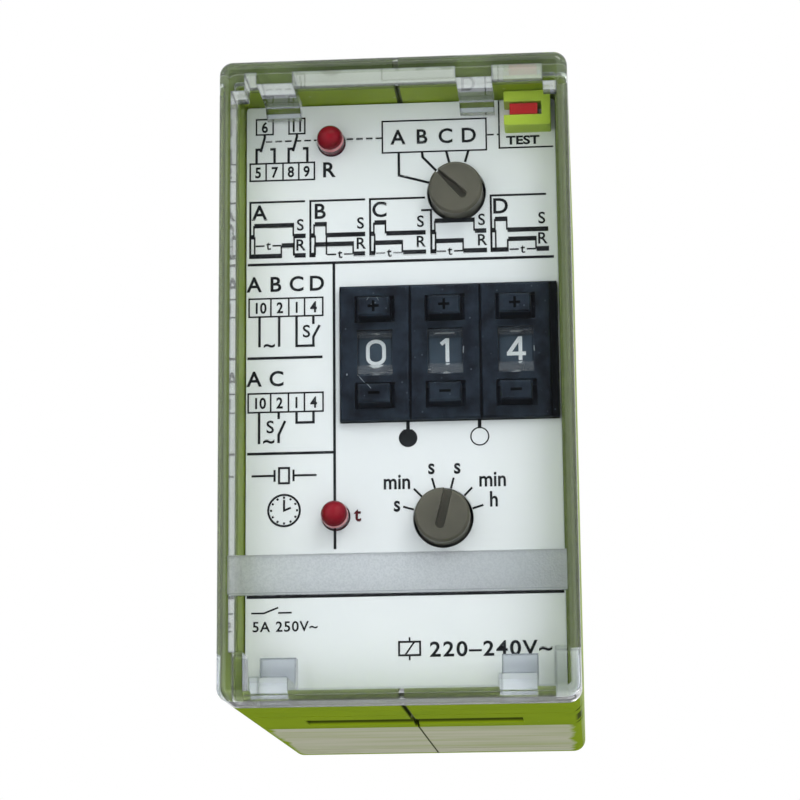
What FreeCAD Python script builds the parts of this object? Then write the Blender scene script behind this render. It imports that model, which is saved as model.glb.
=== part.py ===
import FreeCAD, Part
import math
import os

vector = FreeCAD.Vector

# Frame: front faces -Y, +Z is up, the plug's seating plane is y = 0. Millimetres.

# Housing
body_width = 38.0
body_height = 70.0
body_depth = 64.5
shell_wall = 1.4
back_wall = 2.0
corner_radius = 1.5
inner_corner = 0.4
back_edge_radius = 1.2
outer_seam = (0.3, 0.7)
inner_seam = (0.15, 0.4)
tab_length = 3.0
tab_width = 6.0
tab_thickness = 1.2
tab_back_places = (10.0, 30.0)
flat_clearance = 0.1
cut_margin = 1.0

# Lines round the housing: distance behind the rim, width, depth
lip_line = (5.2, 0.3, 0.25)
collar_groove = (10.6, 0.6, 0.5)
grip_groove = (24.3, 0.5, 0.35)
rear_line = (55.3, 0.4, 0.35)
scoop_place = 18.5
scoop_length = 6.0
scoop_width = 24.5
scoop_depth = 0.8

# Clear cover
cover_depth = 7.5
cover_wall = 1.2
cover_front = 1.6
cover_edge_radius = 1.15
cover_seat_gap = 0.05
arm_width = 3.9
arm_thickness = 1.0
arm_tip_gap = 0.7
heel_length = 2.2
top_heel = (1.0, 1.1)
bottom_heel = (3.0, 1.9)
arm_wall_gap = 2.65
arm_guard_gap = 1.05
bottom_arm_shift = 0.55
top_lug = (1.5, 2.0)
bottom_lug = (1.5, 4.0)
lug_depth = 4.6
band_drop = 21.8
band_height = 4.1
band_raise = 0.3

# Face plate and boards
plate_recess = 5.0
plate_thickness = 1.0
plate_clearance = 0.15
ledge_width = 1.2
ledge_thickness = 1.2
board_thickness = 1.6
front_board_gap = 10.5
main_board_inset = 3.3
rail_depth = 2.0
rail_thickness = 1.2
lead_size = 0.5
lead_spacing = 2.54
lead_tail = 0.8

# Plug with eleven pins
pin_count = 11
pin_circle = 19.05
pin_radius = 1.18
pin_shank_radius = 0.9
pin_length = 11.1
pin_tail = 1.0
pin_tip = (0.4, 0.8)
pin_fit = 0.02
plug_radius = 14.6
plug_flange_gap = 0.8
plug_flange_height = 36.0
plug_flange_thickness = 3.0
spigot_radius = 4.3
spigot_length = 14.0
spigot_chamfer = 1.1
spigot_key = (1.6, 1.0)

# Selectors and lamps, placed from the top or the bottom of the plate
selector_radius = 3.0
selector_proud = 2.4
selector_cap = 5.5
selector_hole_gap = 0.3
stem_radius = 1.5
stem_length = 6.4
slot_half_width = 0.5
slot_depth = 1.2
slot_tail = 1.05
cap_chamfer = 0.28
switch_body = (10.0, 6.4)
switch_corner = 0.75
shaft_fit = 0.05
function_place = (6.25, 10.9)
function_angle = 135.0
function_tip = 0.2
time_place = (4.3, 19.4)
time_angle = 76.0
time_tip = 0.5
lamp_radius = 1.5
lamp_proud = 3.1
lamp_flange = (1.9, 1.0)
lamp_hole_gap = 0.1
relay_lamp_place = (-7.8, 4.6)
timing_lamp_place = (-7.5, 19.8)

# Test guard and key, placed from the top right corner of the plate
guard_size = (5.2, 4.0)
guard_inset = (0.6, 0.1)
guard_proud = 2.9
guard_corner = 0.25
guard_slot = (4.2, 1.55)
key_face = (3.1, 1.25)
key_sink = 0.3
key_slot_gap = 0.45
rod_width = 2.0
test_travel = 1.0
spring_seat = 0.8
spring_size = (2.0, 2.2)
spring_folds = 8

# Push-wheel bank, placed from the right wall
module_count = 3
bank_height = 15.3
bank_depth = 20.0
bank_center = 4.35
bank_proud = 1.0
bank_wall_gap = 0.4
bank_chip_gap = 1.7
end_plate = 0.7
module_wall = 0.8
bezel = 1.4
bezel_chamfer = 0.25
window_margin = 1.95
window_height = 5.2
window_recess = 0.1
window_top_bevel = 0.5
window_bottom_bevel = 1.15
window_bevel_depth = 0.4
drum_radius = 5.9
drum_margin = 1.7
drum_rim = 0.9
drum_gap = 0.4
drum_hub = 1.6
ratchet_radius = 5.0
ratchet_notch = 0.7
ratchet_width = 1.0
digit_count = 10
axle_radius = 0.9
axle_engagement = 0.3
wheel_key_margin = 2.15
wheel_key_height = 2.1
wheel_key_rise = 4.9
wheel_key_proud = 1.6
wheel_key_gap = 0.45
wheel_key_flange = 0.5
wheel_key_lap = 0.75
wheel_key_chamfer = 0.2
pawl_length = 9.0
pawl_height = 0.95
pawl_width = 0.9
pawl_gap = 0.45
leaf = 0.25
leaf_folds = 6
tie_radius = 0.6
tie_inset = 1.6
tie_spread = 6.0

# Output relay, carried on a shelf beside the main board
relay_board_gap = 13.7
test_lever = 20.5
pole_gap = 0.85
armature_thickness = 1.5
armature_width = 12.0
armature_body = 17.5
armature_shoulder = 4.4
armature_bank_gap = 3.5
hinge_gap = 0.2
yoke_thickness = 1.6
yoke_width = 16.0
yoke_rise = 17.0
core_radius = 3.5
core_height = 9.0
pole_shoe = (5.0, 0.7)
bobbin_flange = (15.0, 1.0)
bobbin_tube = 4.3
winding_radius = 6.8
relay_back_gap = 6.0
relay_shelf = 3.0
relay_wall = 1.7
carrier_depth = 2.5
carrier_width = 5.0
contact_leaf = 0.3
contact_width = 3.0
contact_reach = 4.6
contact_radius = 1.0
contact_rise = 0.5
contact_gap = 0.1
contact_heights = (12.2, 16.4)
blade_reach = 3.4
blade = 0.4

# Small components on the main board
dropper_size = (9.5, 15.0)
dropper_foot = 1.2
smoothing_size = (5.0, 16.0)
smoothing_edge = 0.8
smoothing_gap = (1.4, 0.5)
crystal_size = (10.5, 4.6, 13.0)
crystal_corner = 1.5
crystal_gap = (1.0, 1.1)
crystal_rise = 10.0
chip_size = (19.4, 6.3, 3.3)
chip_stand = 0.8
chip_row = 7.62
chip_legs = 16
chip_leg = (0.9, 0.3)
chip_front_gap = 1.0
resistor_size = (1.15, 6.3)
resistor_rises = (2.9, 5.9, 13.6)
resistor_front_gap = 0.8
diode_size = (0.95, 4.2)
diode_gap = 0.4
diode_spacing = 2.4
wire_reach = 1.6
wire_height = 1.6

# Planes and half sizes worked out from the sizes above
half_width = body_width / 2
half_height = body_height / 2
inner_half_width = half_width - shell_wall
inner_half_height = half_height - shell_wall
rim_y = -body_depth
front_y = rim_y - cover_depth
cover_rear = rim_y - cover_seat_gap
plate_front = rim_y + plate_recess
plate_back = plate_front + plate_thickness
front_board_y = plate_back + front_board_gap
front_board_back = front_board_y + board_thickness
plug_flange_y = -back_wall - plug_flange_thickness
plug_flange_reach = inner_half_width - plug_flange_gap
base_board_y = plug_flange_y - board_thickness
main_board_x = -inner_half_width + main_board_inset
main_board_face = main_board_x + board_thickness
scoop_back = rim_y + scoop_place + scoop_length / 2 + shell_wall
board_half_height = inner_half_height - scoop_depth - plate_clearance
bank_right = inner_half_width - bank_wall_gap
bank_left = main_board_face + chip_stand + chip_size[2] + bank_chip_gap
module_pitch = (bank_right - end_plate - bank_left) / module_count
window_width = module_pitch - 2 * window_margin
drum_width = module_pitch - 2 * drum_margin
wheel_key_width = module_pitch - 2 * wheel_key_margin
bank_front = plate_front - bank_proud
bank_back = bank_front + bank_depth
bezel_back = bank_front + bezel
drum_y = bezel_back + drum_gap + drum_radius
guard_left = inner_half_width - guard_inset[0] - guard_size[0]
guard_top = inner_half_height - guard_inset[1]
test_z = guard_top - guard_size[1] / 2
test_x = guard_left + guard_slot[0] - key_slot_gap - key_face[0] / 2
arm_reach = inner_half_width - arm_wall_gap - arm_width / 2
top_arm_places = (-arm_reach, guard_left - arm_guard_gap - arm_width / 2)
bottom_arm_places = (-arm_reach - bottom_arm_shift, arm_reach - bottom_arm_shift)
rod_seat_y = plate_back + flat_clearance
armature_front = bank_back + armature_bank_gap
armature_back = armature_front + armature_thickness
pole_front = armature_back + pole_gap
yoke_back = base_board_y - relay_back_gap
relay_side = main_board_face + relay_board_gap
pivot_height = test_z - test_lever
core_z = pivot_height + core_height
relay_left = relay_side - armature_width / 2
relay_shelf_top = pivot_height - yoke_thickness
relay_shelf_bottom = relay_shelf_top - relay_shelf
dropper_bottom = -inner_half_height + rail_depth + flat_clearance
dropper_top = dropper_bottom + dropper_size[1]
crystal_front = front_board_back + crystal_gap[0]
dropper_front = crystal_front + crystal_size[0] + crystal_gap[1]
chip_space = relay_shelf_bottom - dropper_top
counter_row = dropper_top + chip_space / 4
timer_row = relay_shelf_bottom - chip_space / 4


def block(x0, x1, y0, y1, z0, z1):
    return Part.makeBox(x1 - x0, y1 - y0, z1 - z0, vector(x0, y0, z0))


def edges_along(shape, direction):
    return [e for e in shape.Edges if e.Curve.TypeId == "Part::GeomLine"
            and abs(e.tangentAt(e.FirstParameter).dot(direction)) > 0.999]


def edges_at_y(shape, y):
    return [e for e in shape.Edges if all(abs(v.Y - y) < 1e-4 for v in e.Vertexes)]


def rounded_prism(width, height, radius, y0, y1, x=0.0, z=0.0):
    box = block(x - width / 2, x + width / 2, y0, y1, z - height / 2, z + height / 2)
    return box.makeFillet(radius, edges_along(box, vector(0, 1, 0)))


def rod_y(x, z, radius, y0, y1):
    return Part.makeCylinder(radius, y1 - y0, vector(x, y0, z), vector(0, 1, 0))


def rod_x(y, z, radius, x0, x1):
    return Part.makeCylinder(radius, x1 - x0, vector(x0, y, z), vector(1, 0, 0))


def turned_y(profile, x, z):
    wire = Part.makePolygon([vector(x + r, y, z) for r, y in profile + profile[:1]])
    return Part.Face(wire).revolve(vector(x, 0, z), vector(0, 1, 0), 360)


def turned_x(profile, y, z):
    wire = Part.makePolygon([vector(x, y, z + r) for x, r in profile + profile[:1]])
    return Part.Face(wire).revolve(vector(0, y, z), vector(1, 0, 0), 360)


def plate_xz(points, y0, y1):
    wire = Part.makePolygon([vector(x, y0, z) for x, z in points + points[:1]])
    return Part.Face(wire).extrude(vector(0, y1 - y0, 0))


def plate_yz(points, x0, x1):
    wire = Part.makePolygon([vector(x0, y, z) for y, z in points + points[:1]])
    return Part.Face(wire).extrude(vector(x1 - x0, 0, 0))


def joined(shapes):
    return shapes[0].fuse(shapes[1:]).removeSplitter()


def save(name, shape):
    shape.exportStep(os.path.join("parts", name + ".step"))
    print(name, len(shape.Solids), round(shape.Volume, 1), shape.isValid())


# Housing
def line_ring(line):
    place, width, depth = line
    y0 = rim_y + place
    outer = rounded_prism(body_width + 2 * cut_margin, body_height + 2 * cut_margin, corner_radius,
                          y0, y0 + width)
    core = rounded_prism(body_width - 2 * depth, body_height - 2 * depth, corner_radius - depth,
                         y0, y0 + width)
    return outer.cut(core)


def finger_scoop(side):
    half_chord = scoop_length / 2
    radius = (half_chord ** 2 + scoop_depth ** 2) / (2 * scoop_depth)
    z = side * (half_height - scoop_depth + radius)
    return rod_x(rim_y + scoop_place, z, radius, -scoop_width / 2, scoop_width / 2)


def scoop_backing(side):
    reach = scoop_width / 2 + shell_wall
    half_length = scoop_length / 2 + shell_wall
    y = rim_y + scoop_place
    z0 = side * (inner_half_height - scoop_depth)
    z1 = side * (inner_half_height + shell_wall / 2)
    return block(-reach, reach, y - half_length, y + half_length, min(z0, z1), max(z0, z1))


def plate_ledge():
    y0 = plate_back
    y1 = plate_back + ledge_thickness
    outer = block(-half_width + shell_wall / 2, half_width - shell_wall / 2, y0, y1,
                  -half_height + shell_wall / 2, half_height - shell_wall / 2)
    opening = block(-inner_half_width + ledge_width, inner_half_width - ledge_width, y0, y1,
                    -inner_half_height + ledge_width, inner_half_height - ledge_width)
    return outer.cut(opening)


def board_stop(side):
    reach = scoop_width / 2
    z0 = side * (board_half_height - ledge_width)
    z1 = side * (inner_half_height + shell_wall / 2)
    return block(-reach, reach, front_board_back, front_board_back + ledge_thickness,
                 min(z0, z1), max(z0, z1))


def whole_housing():
    outer = rounded_prism(body_width, body_height, corner_radius, rim_y, 0)
    outer = outer.makeFillet(back_edge_radius, edges_at_y(outer, 0))
    inner = rounded_prism(2 * inner_half_width, 2 * inner_half_height, inner_corner, rim_y, -back_wall)
    shell = outer.cut(inner)
    added = [plate_ledge()]
    for side in (-1, 1):
        added += [scoop_backing(side), board_stop(side)]
    shell = joined([shell] + added)
    cuts = [line_ring(line) for line in (lip_line, collar_groove, grip_groove, rear_line)]
    cuts += [finger_scoop(-1), finger_scoop(1)]
    cuts.append(rod_y(0, 0, plug_radius + flat_clearance, -back_wall, 0))
    cuts.append(bank_space(flat_clearance))
    return shell.cut(cuts)


def bank_space(clearance):
    return block(bank_left - clearance, bank_right + clearance, bank_front, bank_back,
                 bank_center - bank_height / 2 - clearance, bank_center + bank_height / 2 + clearance)


def seam_grooves():
    y1 = rim_y + grip_groove[0]
    outer_half, outer_depth = outer_seam
    inner_half, inner_depth = inner_seam
    cuts = []
    for side in (-1, 1):
        outer_z = side * half_height
        inner_z = side * inner_half_height
        z0, z1 = sorted((outer_z, outer_z - side * outer_depth))
        cuts.append(block(-outer_half, outer_half, rim_y, y1, z0, z1))
        z0, z1 = sorted((inner_z, inner_z + side * inner_depth))
        cuts.append(block(-inner_half, inner_half, rim_y, y1, z0, z1))
    return cuts


def joining_tabs():
    tabs = []
    for place in tab_back_places:
        for side in (-1, 1):
            z0 = side * (inner_half_height - flat_clearance)
            z1 = z0 - side * tab_thickness
            tongue = block(-tab_length, tab_length, -place - tab_width / 2, -place + tab_width / 2,
                           min(z0, z1), max(z0, z1))
            root_top = side * (inner_half_height + shell_wall / 2)
            root = block(-tab_length, -tab_length / 2, -place - tab_width / 2, -place + tab_width / 2,
                         min(z1, root_top), max(z1, root_top))
            tabs += [tongue, root]
    return tabs


def board_rails():
    rails = []
    y0 = scoop_back
    y1 = base_board_y
    for side in (-1, 1):
        z0 = side * (inner_half_height - rail_depth)
        z1 = side * (inner_half_height + shell_wall / 2)
        for x0 in (main_board_x - flat_clearance - rail_thickness, main_board_face + flat_clearance):
            rails.append(block(x0, x0 + rail_thickness, y0, y1, min(z0, z1), max(z0, z1)))
    return rails


def housing_halves():
    shell = whole_housing().cut(seam_grooves())
    left_space = block(-body_width, 0, front_y, cut_margin, -body_height, body_height)
    right_space = block(0, body_width, front_y, cut_margin, -body_height, body_height)
    left = joined([shell.common(left_space)] + joining_tabs() + board_rails())
    return left, shell.common(right_space)


# Clear cover
def cover_arm(x, side, heel_size):
    root_y = front_y + cover_front / 2
    tip_y = plate_front - arm_tip_gap
    outer_z = side * (inner_half_height - flat_clearance)
    inner_z = outer_z - side * arm_thickness
    wall_z = side * (inner_half_height + cover_wall / 2)
    x0 = x - arm_width / 2
    x1 = x + arm_width / 2
    bar = block(x0, x1, root_y, tip_y, min(outer_z, inner_z), max(outer_z, inner_z))
    root = block(x0, x1, root_y, cover_rear, min(wall_z, inner_z), max(wall_z, inner_z))
    heel_height, heel_flat = heel_size
    heel_z = inner_z - side * heel_height
    heel = plate_yz([(tip_y - heel_length, inner_z), (tip_y, inner_z), (tip_y, heel_z),
                     (tip_y - heel_flat, heel_z)], x0, x1)
    return [bar, root, heel]


def cover_lug(x_side, z_side, size):
    width, height = size
    y0 = front_y + cover_front / 2
    x0 = x_side * (half_width - cover_wall / 2)
    x1 = x_side * (half_width - cover_wall - width)
    z0 = z_side * (half_height - cover_wall / 2)
    z1 = z_side * (half_height - cover_wall - height)
    return block(min(x0, x1), max(x0, x1), y0, front_y + cover_front + lug_depth,
                 min(z0, z1), max(z0, z1))


def clear_cover():
    outer = rounded_prism(body_width, body_height, corner_radius, front_y, cover_rear)
    outer = outer.makeFillet(cover_edge_radius, edges_at_y(outer, front_y))
    inner = rounded_prism(body_width - 2 * cover_wall, body_height - 2 * cover_wall, inner_corner,
                          front_y + cover_front, cover_rear)
    pieces = [outer.cut(inner)]
    for x in top_arm_places:
        pieces += cover_arm(x, 1, top_heel)
    for x in bottom_arm_places:
        pieces += cover_arm(x, -1, bottom_heel)
    for x_side in (-1, 1):
        pieces.append(cover_lug(x_side, 1, top_lug))
        pieces.append(cover_lug(x_side, -1, bottom_lug))
    band_reach = half_width - cover_wall / 2
    band_y = front_y + cover_front
    pieces.append(block(-band_reach, band_reach, band_y - cover_front / 2, band_y + band_raise,
                        -band_drop - band_height / 2, -band_drop + band_height / 2))
    return joined(pieces)


# Face plate and boards
def from_top(place):
    return place[0], inner_half_height - place[1]


def from_bottom(place):
    return place[0], -inner_half_height + place[1]


def face_plate():
    width = 2 * (inner_half_width - plate_clearance)
    height = 2 * (inner_half_height - plate_clearance)
    plate = rounded_prism(width, height, inner_corner, plate_front, plate_back)
    cuts = [bank_space(flat_clearance)]
    for x, z in (from_top(function_place), from_bottom(time_place)):
        cuts.append(rod_y(x, z, selector_radius + selector_hole_gap, plate_front, plate_back))
    for x, z in (from_top(relay_lamp_place), from_bottom(timing_lamp_place)):
        cuts.append(rod_y(x, z, lamp_radius + lamp_hole_gap, plate_front, plate_back))
    reach = key_face[0] / 2 + flat_clearance
    cuts.append(block(test_x - reach, test_x + reach, plate_front, plate_back,
                      test_z - guard_slot[1] / 2, test_z + guard_slot[1] / 2))
    return plate.cut(cuts)


def lead_places():
    places = []
    for x, z in (from_top(relay_lamp_place), from_bottom(timing_lamp_place)):
        places += [(x - lead_spacing / 2, z), (x + lead_spacing / 2, z)]
    return places


def front_board():
    reach = inner_half_width - plate_clearance
    board = block(-reach, reach, front_board_y, front_board_back, -board_half_height, board_half_height)
    cuts = [bank_space(2 * flat_clearance)]
    rod_reach = rod_width / 2 + 2 * flat_clearance
    cuts.append(block(test_x - rod_reach, test_x + rod_reach, front_board_y, front_board_back,
                      test_z - key_face[1] / 2 - 2 * flat_clearance, board_half_height))
    for x, z in lead_places():
        cuts.append(rod_y(x, z, lead_size, front_board_y, front_board_back))
    return board.cut(cuts)


def main_board():
    reach = inner_half_height - flat_clearance
    board = block(main_board_x, main_board_face, front_board_back, base_board_y, -reach, reach)
    y1 = scoop_back + flat_clearance
    for side in (-1, 1):
        z0 = side * (board_half_height - ledge_width - flat_clearance)
        z1 = side * inner_half_height
        board = board.cut(block(main_board_x, main_board_face, front_board_back, y1,
                                min(z0, z1), max(z0, z1)))
    return board


# Plug
def pin_places():
    for i in range(pin_count):
        angle = 2 * math.pi * (i + 0.5) / pin_count - math.pi / 2
        yield pin_circle / 2 * math.cos(angle), pin_circle / 2 * math.sin(angle)


def shank_holes(y0, y1):
    return [rod_y(x, z, pin_shank_radius + pin_fit, y0, y1) for x, z in pin_places()]


def plug_base():
    flange = block(-plug_flange_reach, plug_flange_reach, plug_flange_y, -back_wall,
                   -plug_flange_height / 2, plug_flange_height / 2)
    disc = rod_y(0, 0, plug_radius, plug_flange_y, 0)
    shoulder = spigot_length - spigot_chamfer
    spigot = turned_y([(0, plug_flange_y), (spigot_radius, plug_flange_y), (spigot_radius, shoulder),
                       (spigot_radius - spigot_chamfer, spigot_length), (0, spigot_length)], 0, 0)
    key_width, key_rise = spigot_key
    rib = block(-key_width / 2, key_width / 2, -back_wall, shoulder, -spigot_radius - key_rise, 0)
    base = joined([flange, disc, spigot, rib])
    return base.cut(shank_holes(plug_flange_y, 0))


def base_board():
    board = block(-plug_flange_reach, plug_flange_reach, base_board_y, plug_flange_y,
                  -plug_flange_height / 2, plug_flange_height / 2)
    return board.cut(shank_holes(base_board_y, plug_flange_y))


def plug_pins():
    tail = base_board_y - pin_tail
    taper, tip_length = pin_tip
    profile = [(0, tail), (pin_shank_radius, tail), (pin_shank_radius, 0), (pin_radius, 0),
               (pin_radius, pin_length - tip_length), (pin_radius - taper, pin_length), (0, pin_length)]
    return Part.makeCompound([turned_y(profile, x, z) for x, z in pin_places()])


# Selectors and lamps
def selector(place, angle, tip_half_width):
    x, z = place
    cap_front = plate_front - selector_proud
    cap_back = cap_front + selector_cap
    cap = rod_y(x, z, selector_radius, cap_front, cap_back)
    cap = cap.makeChamfer(cap_chamfer, edges_at_y(cap, cap_front))
    stem = rod_y(x, z, stem_radius, cap_back, cap_back + stem_length)
    tail = x - slot_tail
    slot = plate_xz([(tail, z - slot_half_width), (x + selector_radius, z - tip_half_width),
                     (x + selector_radius, z + tip_half_width), (tail, z + slot_half_width)],
                    cap_front, cap_front + slot_depth)
    round_end = rod_y(tail, z, slot_half_width, cap_front, cap_front + slot_depth)
    slot = slot.fuse(round_end)
    slot.rotate(vector(x, 0, z), vector(0, -1, 0), angle)
    return joined([cap, stem]).cut(slot)


def switch(place):
    x, z = place
    width, height = switch_body
    y0 = front_board_y - height
    case = rounded_prism(width, width, switch_corner, y0, front_board_y, x, z)
    return case.cut(rod_y(x, z, stem_radius + shaft_fit, y0, front_board_y))


def lamp(place):
    x, z = place
    flange_radius, flange_thickness = lamp_flange
    apex = plate_front - lamp_proud
    barrel = rod_y(x, z, lamp_radius, apex + lamp_radius, plate_back + flange_thickness)
    dome = Part.makeSphere(lamp_radius, vector(x, apex + lamp_radius, z))
    flange = rod_y(x, z, flange_radius, plate_back, plate_back + flange_thickness)
    return joined([barrel, dome, flange])


def lamp_leads():
    half = lead_size / 2
    y0 = plate_back + lamp_flange[1]
    y1 = front_board_back + lead_tail
    return Part.makeCompound([block(x - half, x + half, y0, y1, z - half, z + half)
                              for x, z in lead_places()])


# Test guard and key
def test_guard():
    width, height = guard_size
    slot_length, slot_height = guard_slot
    front = plate_front - guard_proud
    body = rounded_prism(width, height, guard_corner, front, plate_front,
                         guard_left + width / 2, test_z)
    return body.cut(block(guard_left, guard_left + slot_length, front, plate_front,
                          test_z - slot_height / 2, test_z + slot_height / 2))


def test_key():
    width, height = key_face
    front = plate_front - guard_proud + key_sink
    face = block(test_x - width / 2, test_x + width / 2, front, rod_seat_y,
                 test_z - height / 2, test_z + height / 2)
    rod = block(test_x - rod_width / 2, test_x + rod_width / 2, rod_seat_y,
                armature_front - flat_clearance, test_z - height / 2, test_z + height / 2)
    seat = block(test_x - rod_width / 2, test_x + rod_width / 2, rod_seat_y, rod_seat_y + spring_seat,
                 test_z - height / 2 - flat_clearance - spring_size[1], test_z)
    return joined([face, rod, seat])


def zigzag(x0, x1, y0, y1, z0, z1, folds):
    step = (y1 - y0 - leaf) / folds
    strips = []
    for i in range(folds):
        start, end = (z1, z0) if i % 2 else (z0, z1)
        y = y0 + step * i
        strips.append(plate_yz([(y, start), (y + step, end), (y + step + leaf, end), (y + leaf, start)],
                               x0, x1))
    return joined(strips)


def test_spring():
    width, height = spring_size
    top = test_z - key_face[1] / 2 - flat_clearance
    return zigzag(test_x - width / 2, test_x + width / 2, rod_seat_y + spring_seat, front_board_y,
                  top - height, top, spring_folds)


# Push-wheel bank
def module_left(index):
    return bank_left + index * module_pitch


def key_height(side):
    return bank_center + side * wheel_key_rise


def tie_places():
    y = bank_back - tie_inset
    return [(y, bank_center - tie_spread / 2), (y, bank_center + tie_spread / 2)]


def side_wall_holes(x0, x1):
    holes = [rod_x(drum_y, bank_center, axle_radius + shaft_fit, x0, x1)]
    return holes + [rod_x(y, z, tie_radius + pin_fit, x0, x1) for y, z in tie_places()]


def wheel_body(index):
    x0 = module_left(index)
    x1 = x0 + module_pitch
    center = (x0 + x1) / 2
    z0 = bank_center - bank_height / 2
    z1 = bank_center + bank_height / 2
    case = block(x0, x1, bank_front, bank_back, z0, z1)
    case = case.makeChamfer(bezel_chamfer, edges_at_y(case, bank_front))
    inner = block(x0 + module_wall, x1, bezel_back, bank_back - module_wall,
                  z0 + module_wall, z1 - module_wall)
    cuts = [inner] + side_wall_holes(x0, x0 + module_wall)
    cuts.append(block(center - window_width / 2, center + window_width / 2, bank_front, bezel_back,
                      bank_center - window_height / 2, bank_center + window_height / 2))
    for side in (-1, 1):
        half_w = wheel_key_width / 2 + wheel_key_gap
        half_h = wheel_key_height / 2 + wheel_key_gap
        z = key_height(side)
        cuts.append(block(center - half_w, center + half_w, bank_front, bezel_back,
                          z - half_h, z + half_h))
    return case.cut(cuts)


def wheel_window(index):
    center = module_left(index) + module_pitch / 2
    half_w = window_width / 2 - pin_fit
    z0 = bank_center - window_height / 2 + pin_fit
    z1 = bank_center + window_height / 2 - pin_fit
    front = bank_front + window_recess
    edge = front + window_bevel_depth
    outline = [(front, z0 + window_bottom_bevel), (edge, z0), (bezel_back, z0), (bezel_back, z1),
               (edge, z1), (front, z1 - window_top_bevel)]
    return plate_yz(outline, center - half_w, center + half_w)


def drum_outline(radii, turn):
    points = []
    for i, radius in enumerate(radii):
        angle = 2 * math.pi * (i + turn) / len(radii)
        points.append((drum_y + radius * math.cos(angle), bank_center + radius * math.sin(angle)))
    return points


def digit_drum(index):
    left = module_left(index)
    rim0 = left + (module_pitch - drum_width) / 2
    rim1 = rim0 + drum_width
    star0 = rim1
    star1 = rim1 + ratchet_width
    web = rim0 + drum_rim
    flats = plate_yz(drum_outline([drum_radius] * digit_count, 0.5), rim0, rim1)
    hub = rod_x(drum_y, bank_center, drum_hub, web, rim1)
    drum = flats.cut(rod_x(drum_y, bank_center, drum_radius - drum_rim, web, rim1).cut(hub))
    star = plate_yz(drum_outline([ratchet_radius, ratchet_radius - ratchet_notch] * digit_count, 0),
                    star0, star1)
    axle_left = rod_x(drum_y, bank_center, axle_radius, left + module_wall - axle_engagement, rim0)
    axle_right = rod_x(drum_y, bank_center, axle_radius, star1, left + module_pitch + axle_engagement)
    return joined([drum, star, axle_left, axle_right])


def pawl_span(index):
    x0 = module_left(index) + (module_pitch + drum_width) / 2 + 2 * flat_clearance
    return x0, x0 + pawl_width


def pawl_heights(side):
    z0 = bank_center + side * (ratchet_radius + pawl_gap)
    z1 = z0 + side * pawl_height
    return min(z0, z1), max(z0, z1)


def push_key(index, side):
    center = module_left(index) + module_pitch / 2
    z = key_height(side)
    width = wheel_key_width
    height = wheel_key_height
    front = bank_front - wheel_key_proud
    button = block(center - width / 2, center + width / 2, front, bezel_back,
                   z - height / 2, z + height / 2)
    button = button.makeChamfer(wheel_key_chamfer, edges_at_y(button, front))
    outer_z = z + side * (height / 2 + wheel_key_lap)
    inner_z = z - side * height / 2
    pawl_x0, pawl_x1 = pawl_span(index)
    flange = block(center - width / 2 - wheel_key_lap, pawl_x1, bezel_back,
                   bezel_back + wheel_key_flange, min(inner_z, outer_z), max(inner_z, outer_z))
    pawl_z0, pawl_z1 = pawl_heights(side)
    pawl = block(pawl_x0, pawl_x1, bezel_back, bezel_back + pawl_length, pawl_z0, pawl_z1)
    return joined([button, flange, pawl])


def key_spring(index, side):
    x0, x1 = pawl_span(index)
    z0, z1 = pawl_heights(side)
    y0 = bezel_back + pawl_length
    return zigzag(x0, x1, y0, bank_back - module_wall, z0, z1, leaf_folds)


def wheel_end_plate():
    x0 = bank_right - end_plate
    cover = block(x0, bank_right, bank_front + bezel_chamfer, bank_back,
                  bank_center - bank_height / 2, bank_center + bank_height / 2)
    return cover.cut(side_wall_holes(x0, bank_right))


def wheel_tie_rods():
    return Part.makeCompound([rod_x(y, z, tie_radius, bank_left, bank_right) for y, z in tie_places()])


# Output relay
def relay_base():
    y0 = armature_front - carrier_depth - contact_gap - 2 * blade
    shelf = block(main_board_face, relay_side + yoke_width / 2, armature_back, yoke_back,
                  relay_shelf_bottom, relay_shelf_top)
    wall = block(main_board_face, main_board_face + relay_wall, y0 - blade, yoke_back,
                 relay_shelf_bottom, pivot_height + contact_heights[1] + contact_width)
    return joined([shelf, wall])


def relay_yoke():
    x0 = relay_side - yoke_width / 2
    x1 = relay_side + yoke_width / 2
    foot = block(x0, x1, armature_back + hinge_gap, yoke_back, relay_shelf_top, pivot_height)
    back = block(x0, x1, yoke_back - yoke_thickness, yoke_back, relay_shelf_top,
                 relay_shelf_top + yoke_rise)
    hole = rod_y(relay_side, core_z, core_radius + pin_fit, yoke_back - yoke_thickness, yoke_back)
    return joined([foot, back]).cut(hole)


def relay_core():
    shoe_radius, shoe_thickness = pole_shoe
    return turned_y([(0, pole_front), (shoe_radius, pole_front), (shoe_radius, pole_front + shoe_thickness),
                     (core_radius, pole_front + shoe_thickness), (core_radius, yoke_back), (0, yoke_back)],
                    relay_side, core_z)


def bobbin_span():
    return pole_front + pole_shoe[1] + flat_clearance, yoke_back - yoke_thickness - flat_clearance


def relay_bobbin():
    y0, y1 = bobbin_span()
    width, thickness = bobbin_flange
    flanges = [block(relay_side - width / 2, relay_side + width / 2, y, y + thickness,
                     core_z - width / 2, core_z + width / 2) for y in (y0, y1 - thickness)]
    tube = rod_y(relay_side, core_z, bobbin_tube, y0, y1)
    bobbin = joined(flanges + [tube])
    return bobbin.cut(rod_y(relay_side, core_z, core_radius + shaft_fit, y0, y1))


def relay_winding():
    y0, y1 = bobbin_span()
    thickness = bobbin_flange[1]
    start = y0 + thickness + shaft_fit
    end = y1 - thickness - shaft_fit
    return turned_y([(bobbin_tube + shaft_fit, start), (winding_radius, start), (winding_radius, end),
                     (bobbin_tube + shaft_fit, end)], relay_side, core_z)


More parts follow.
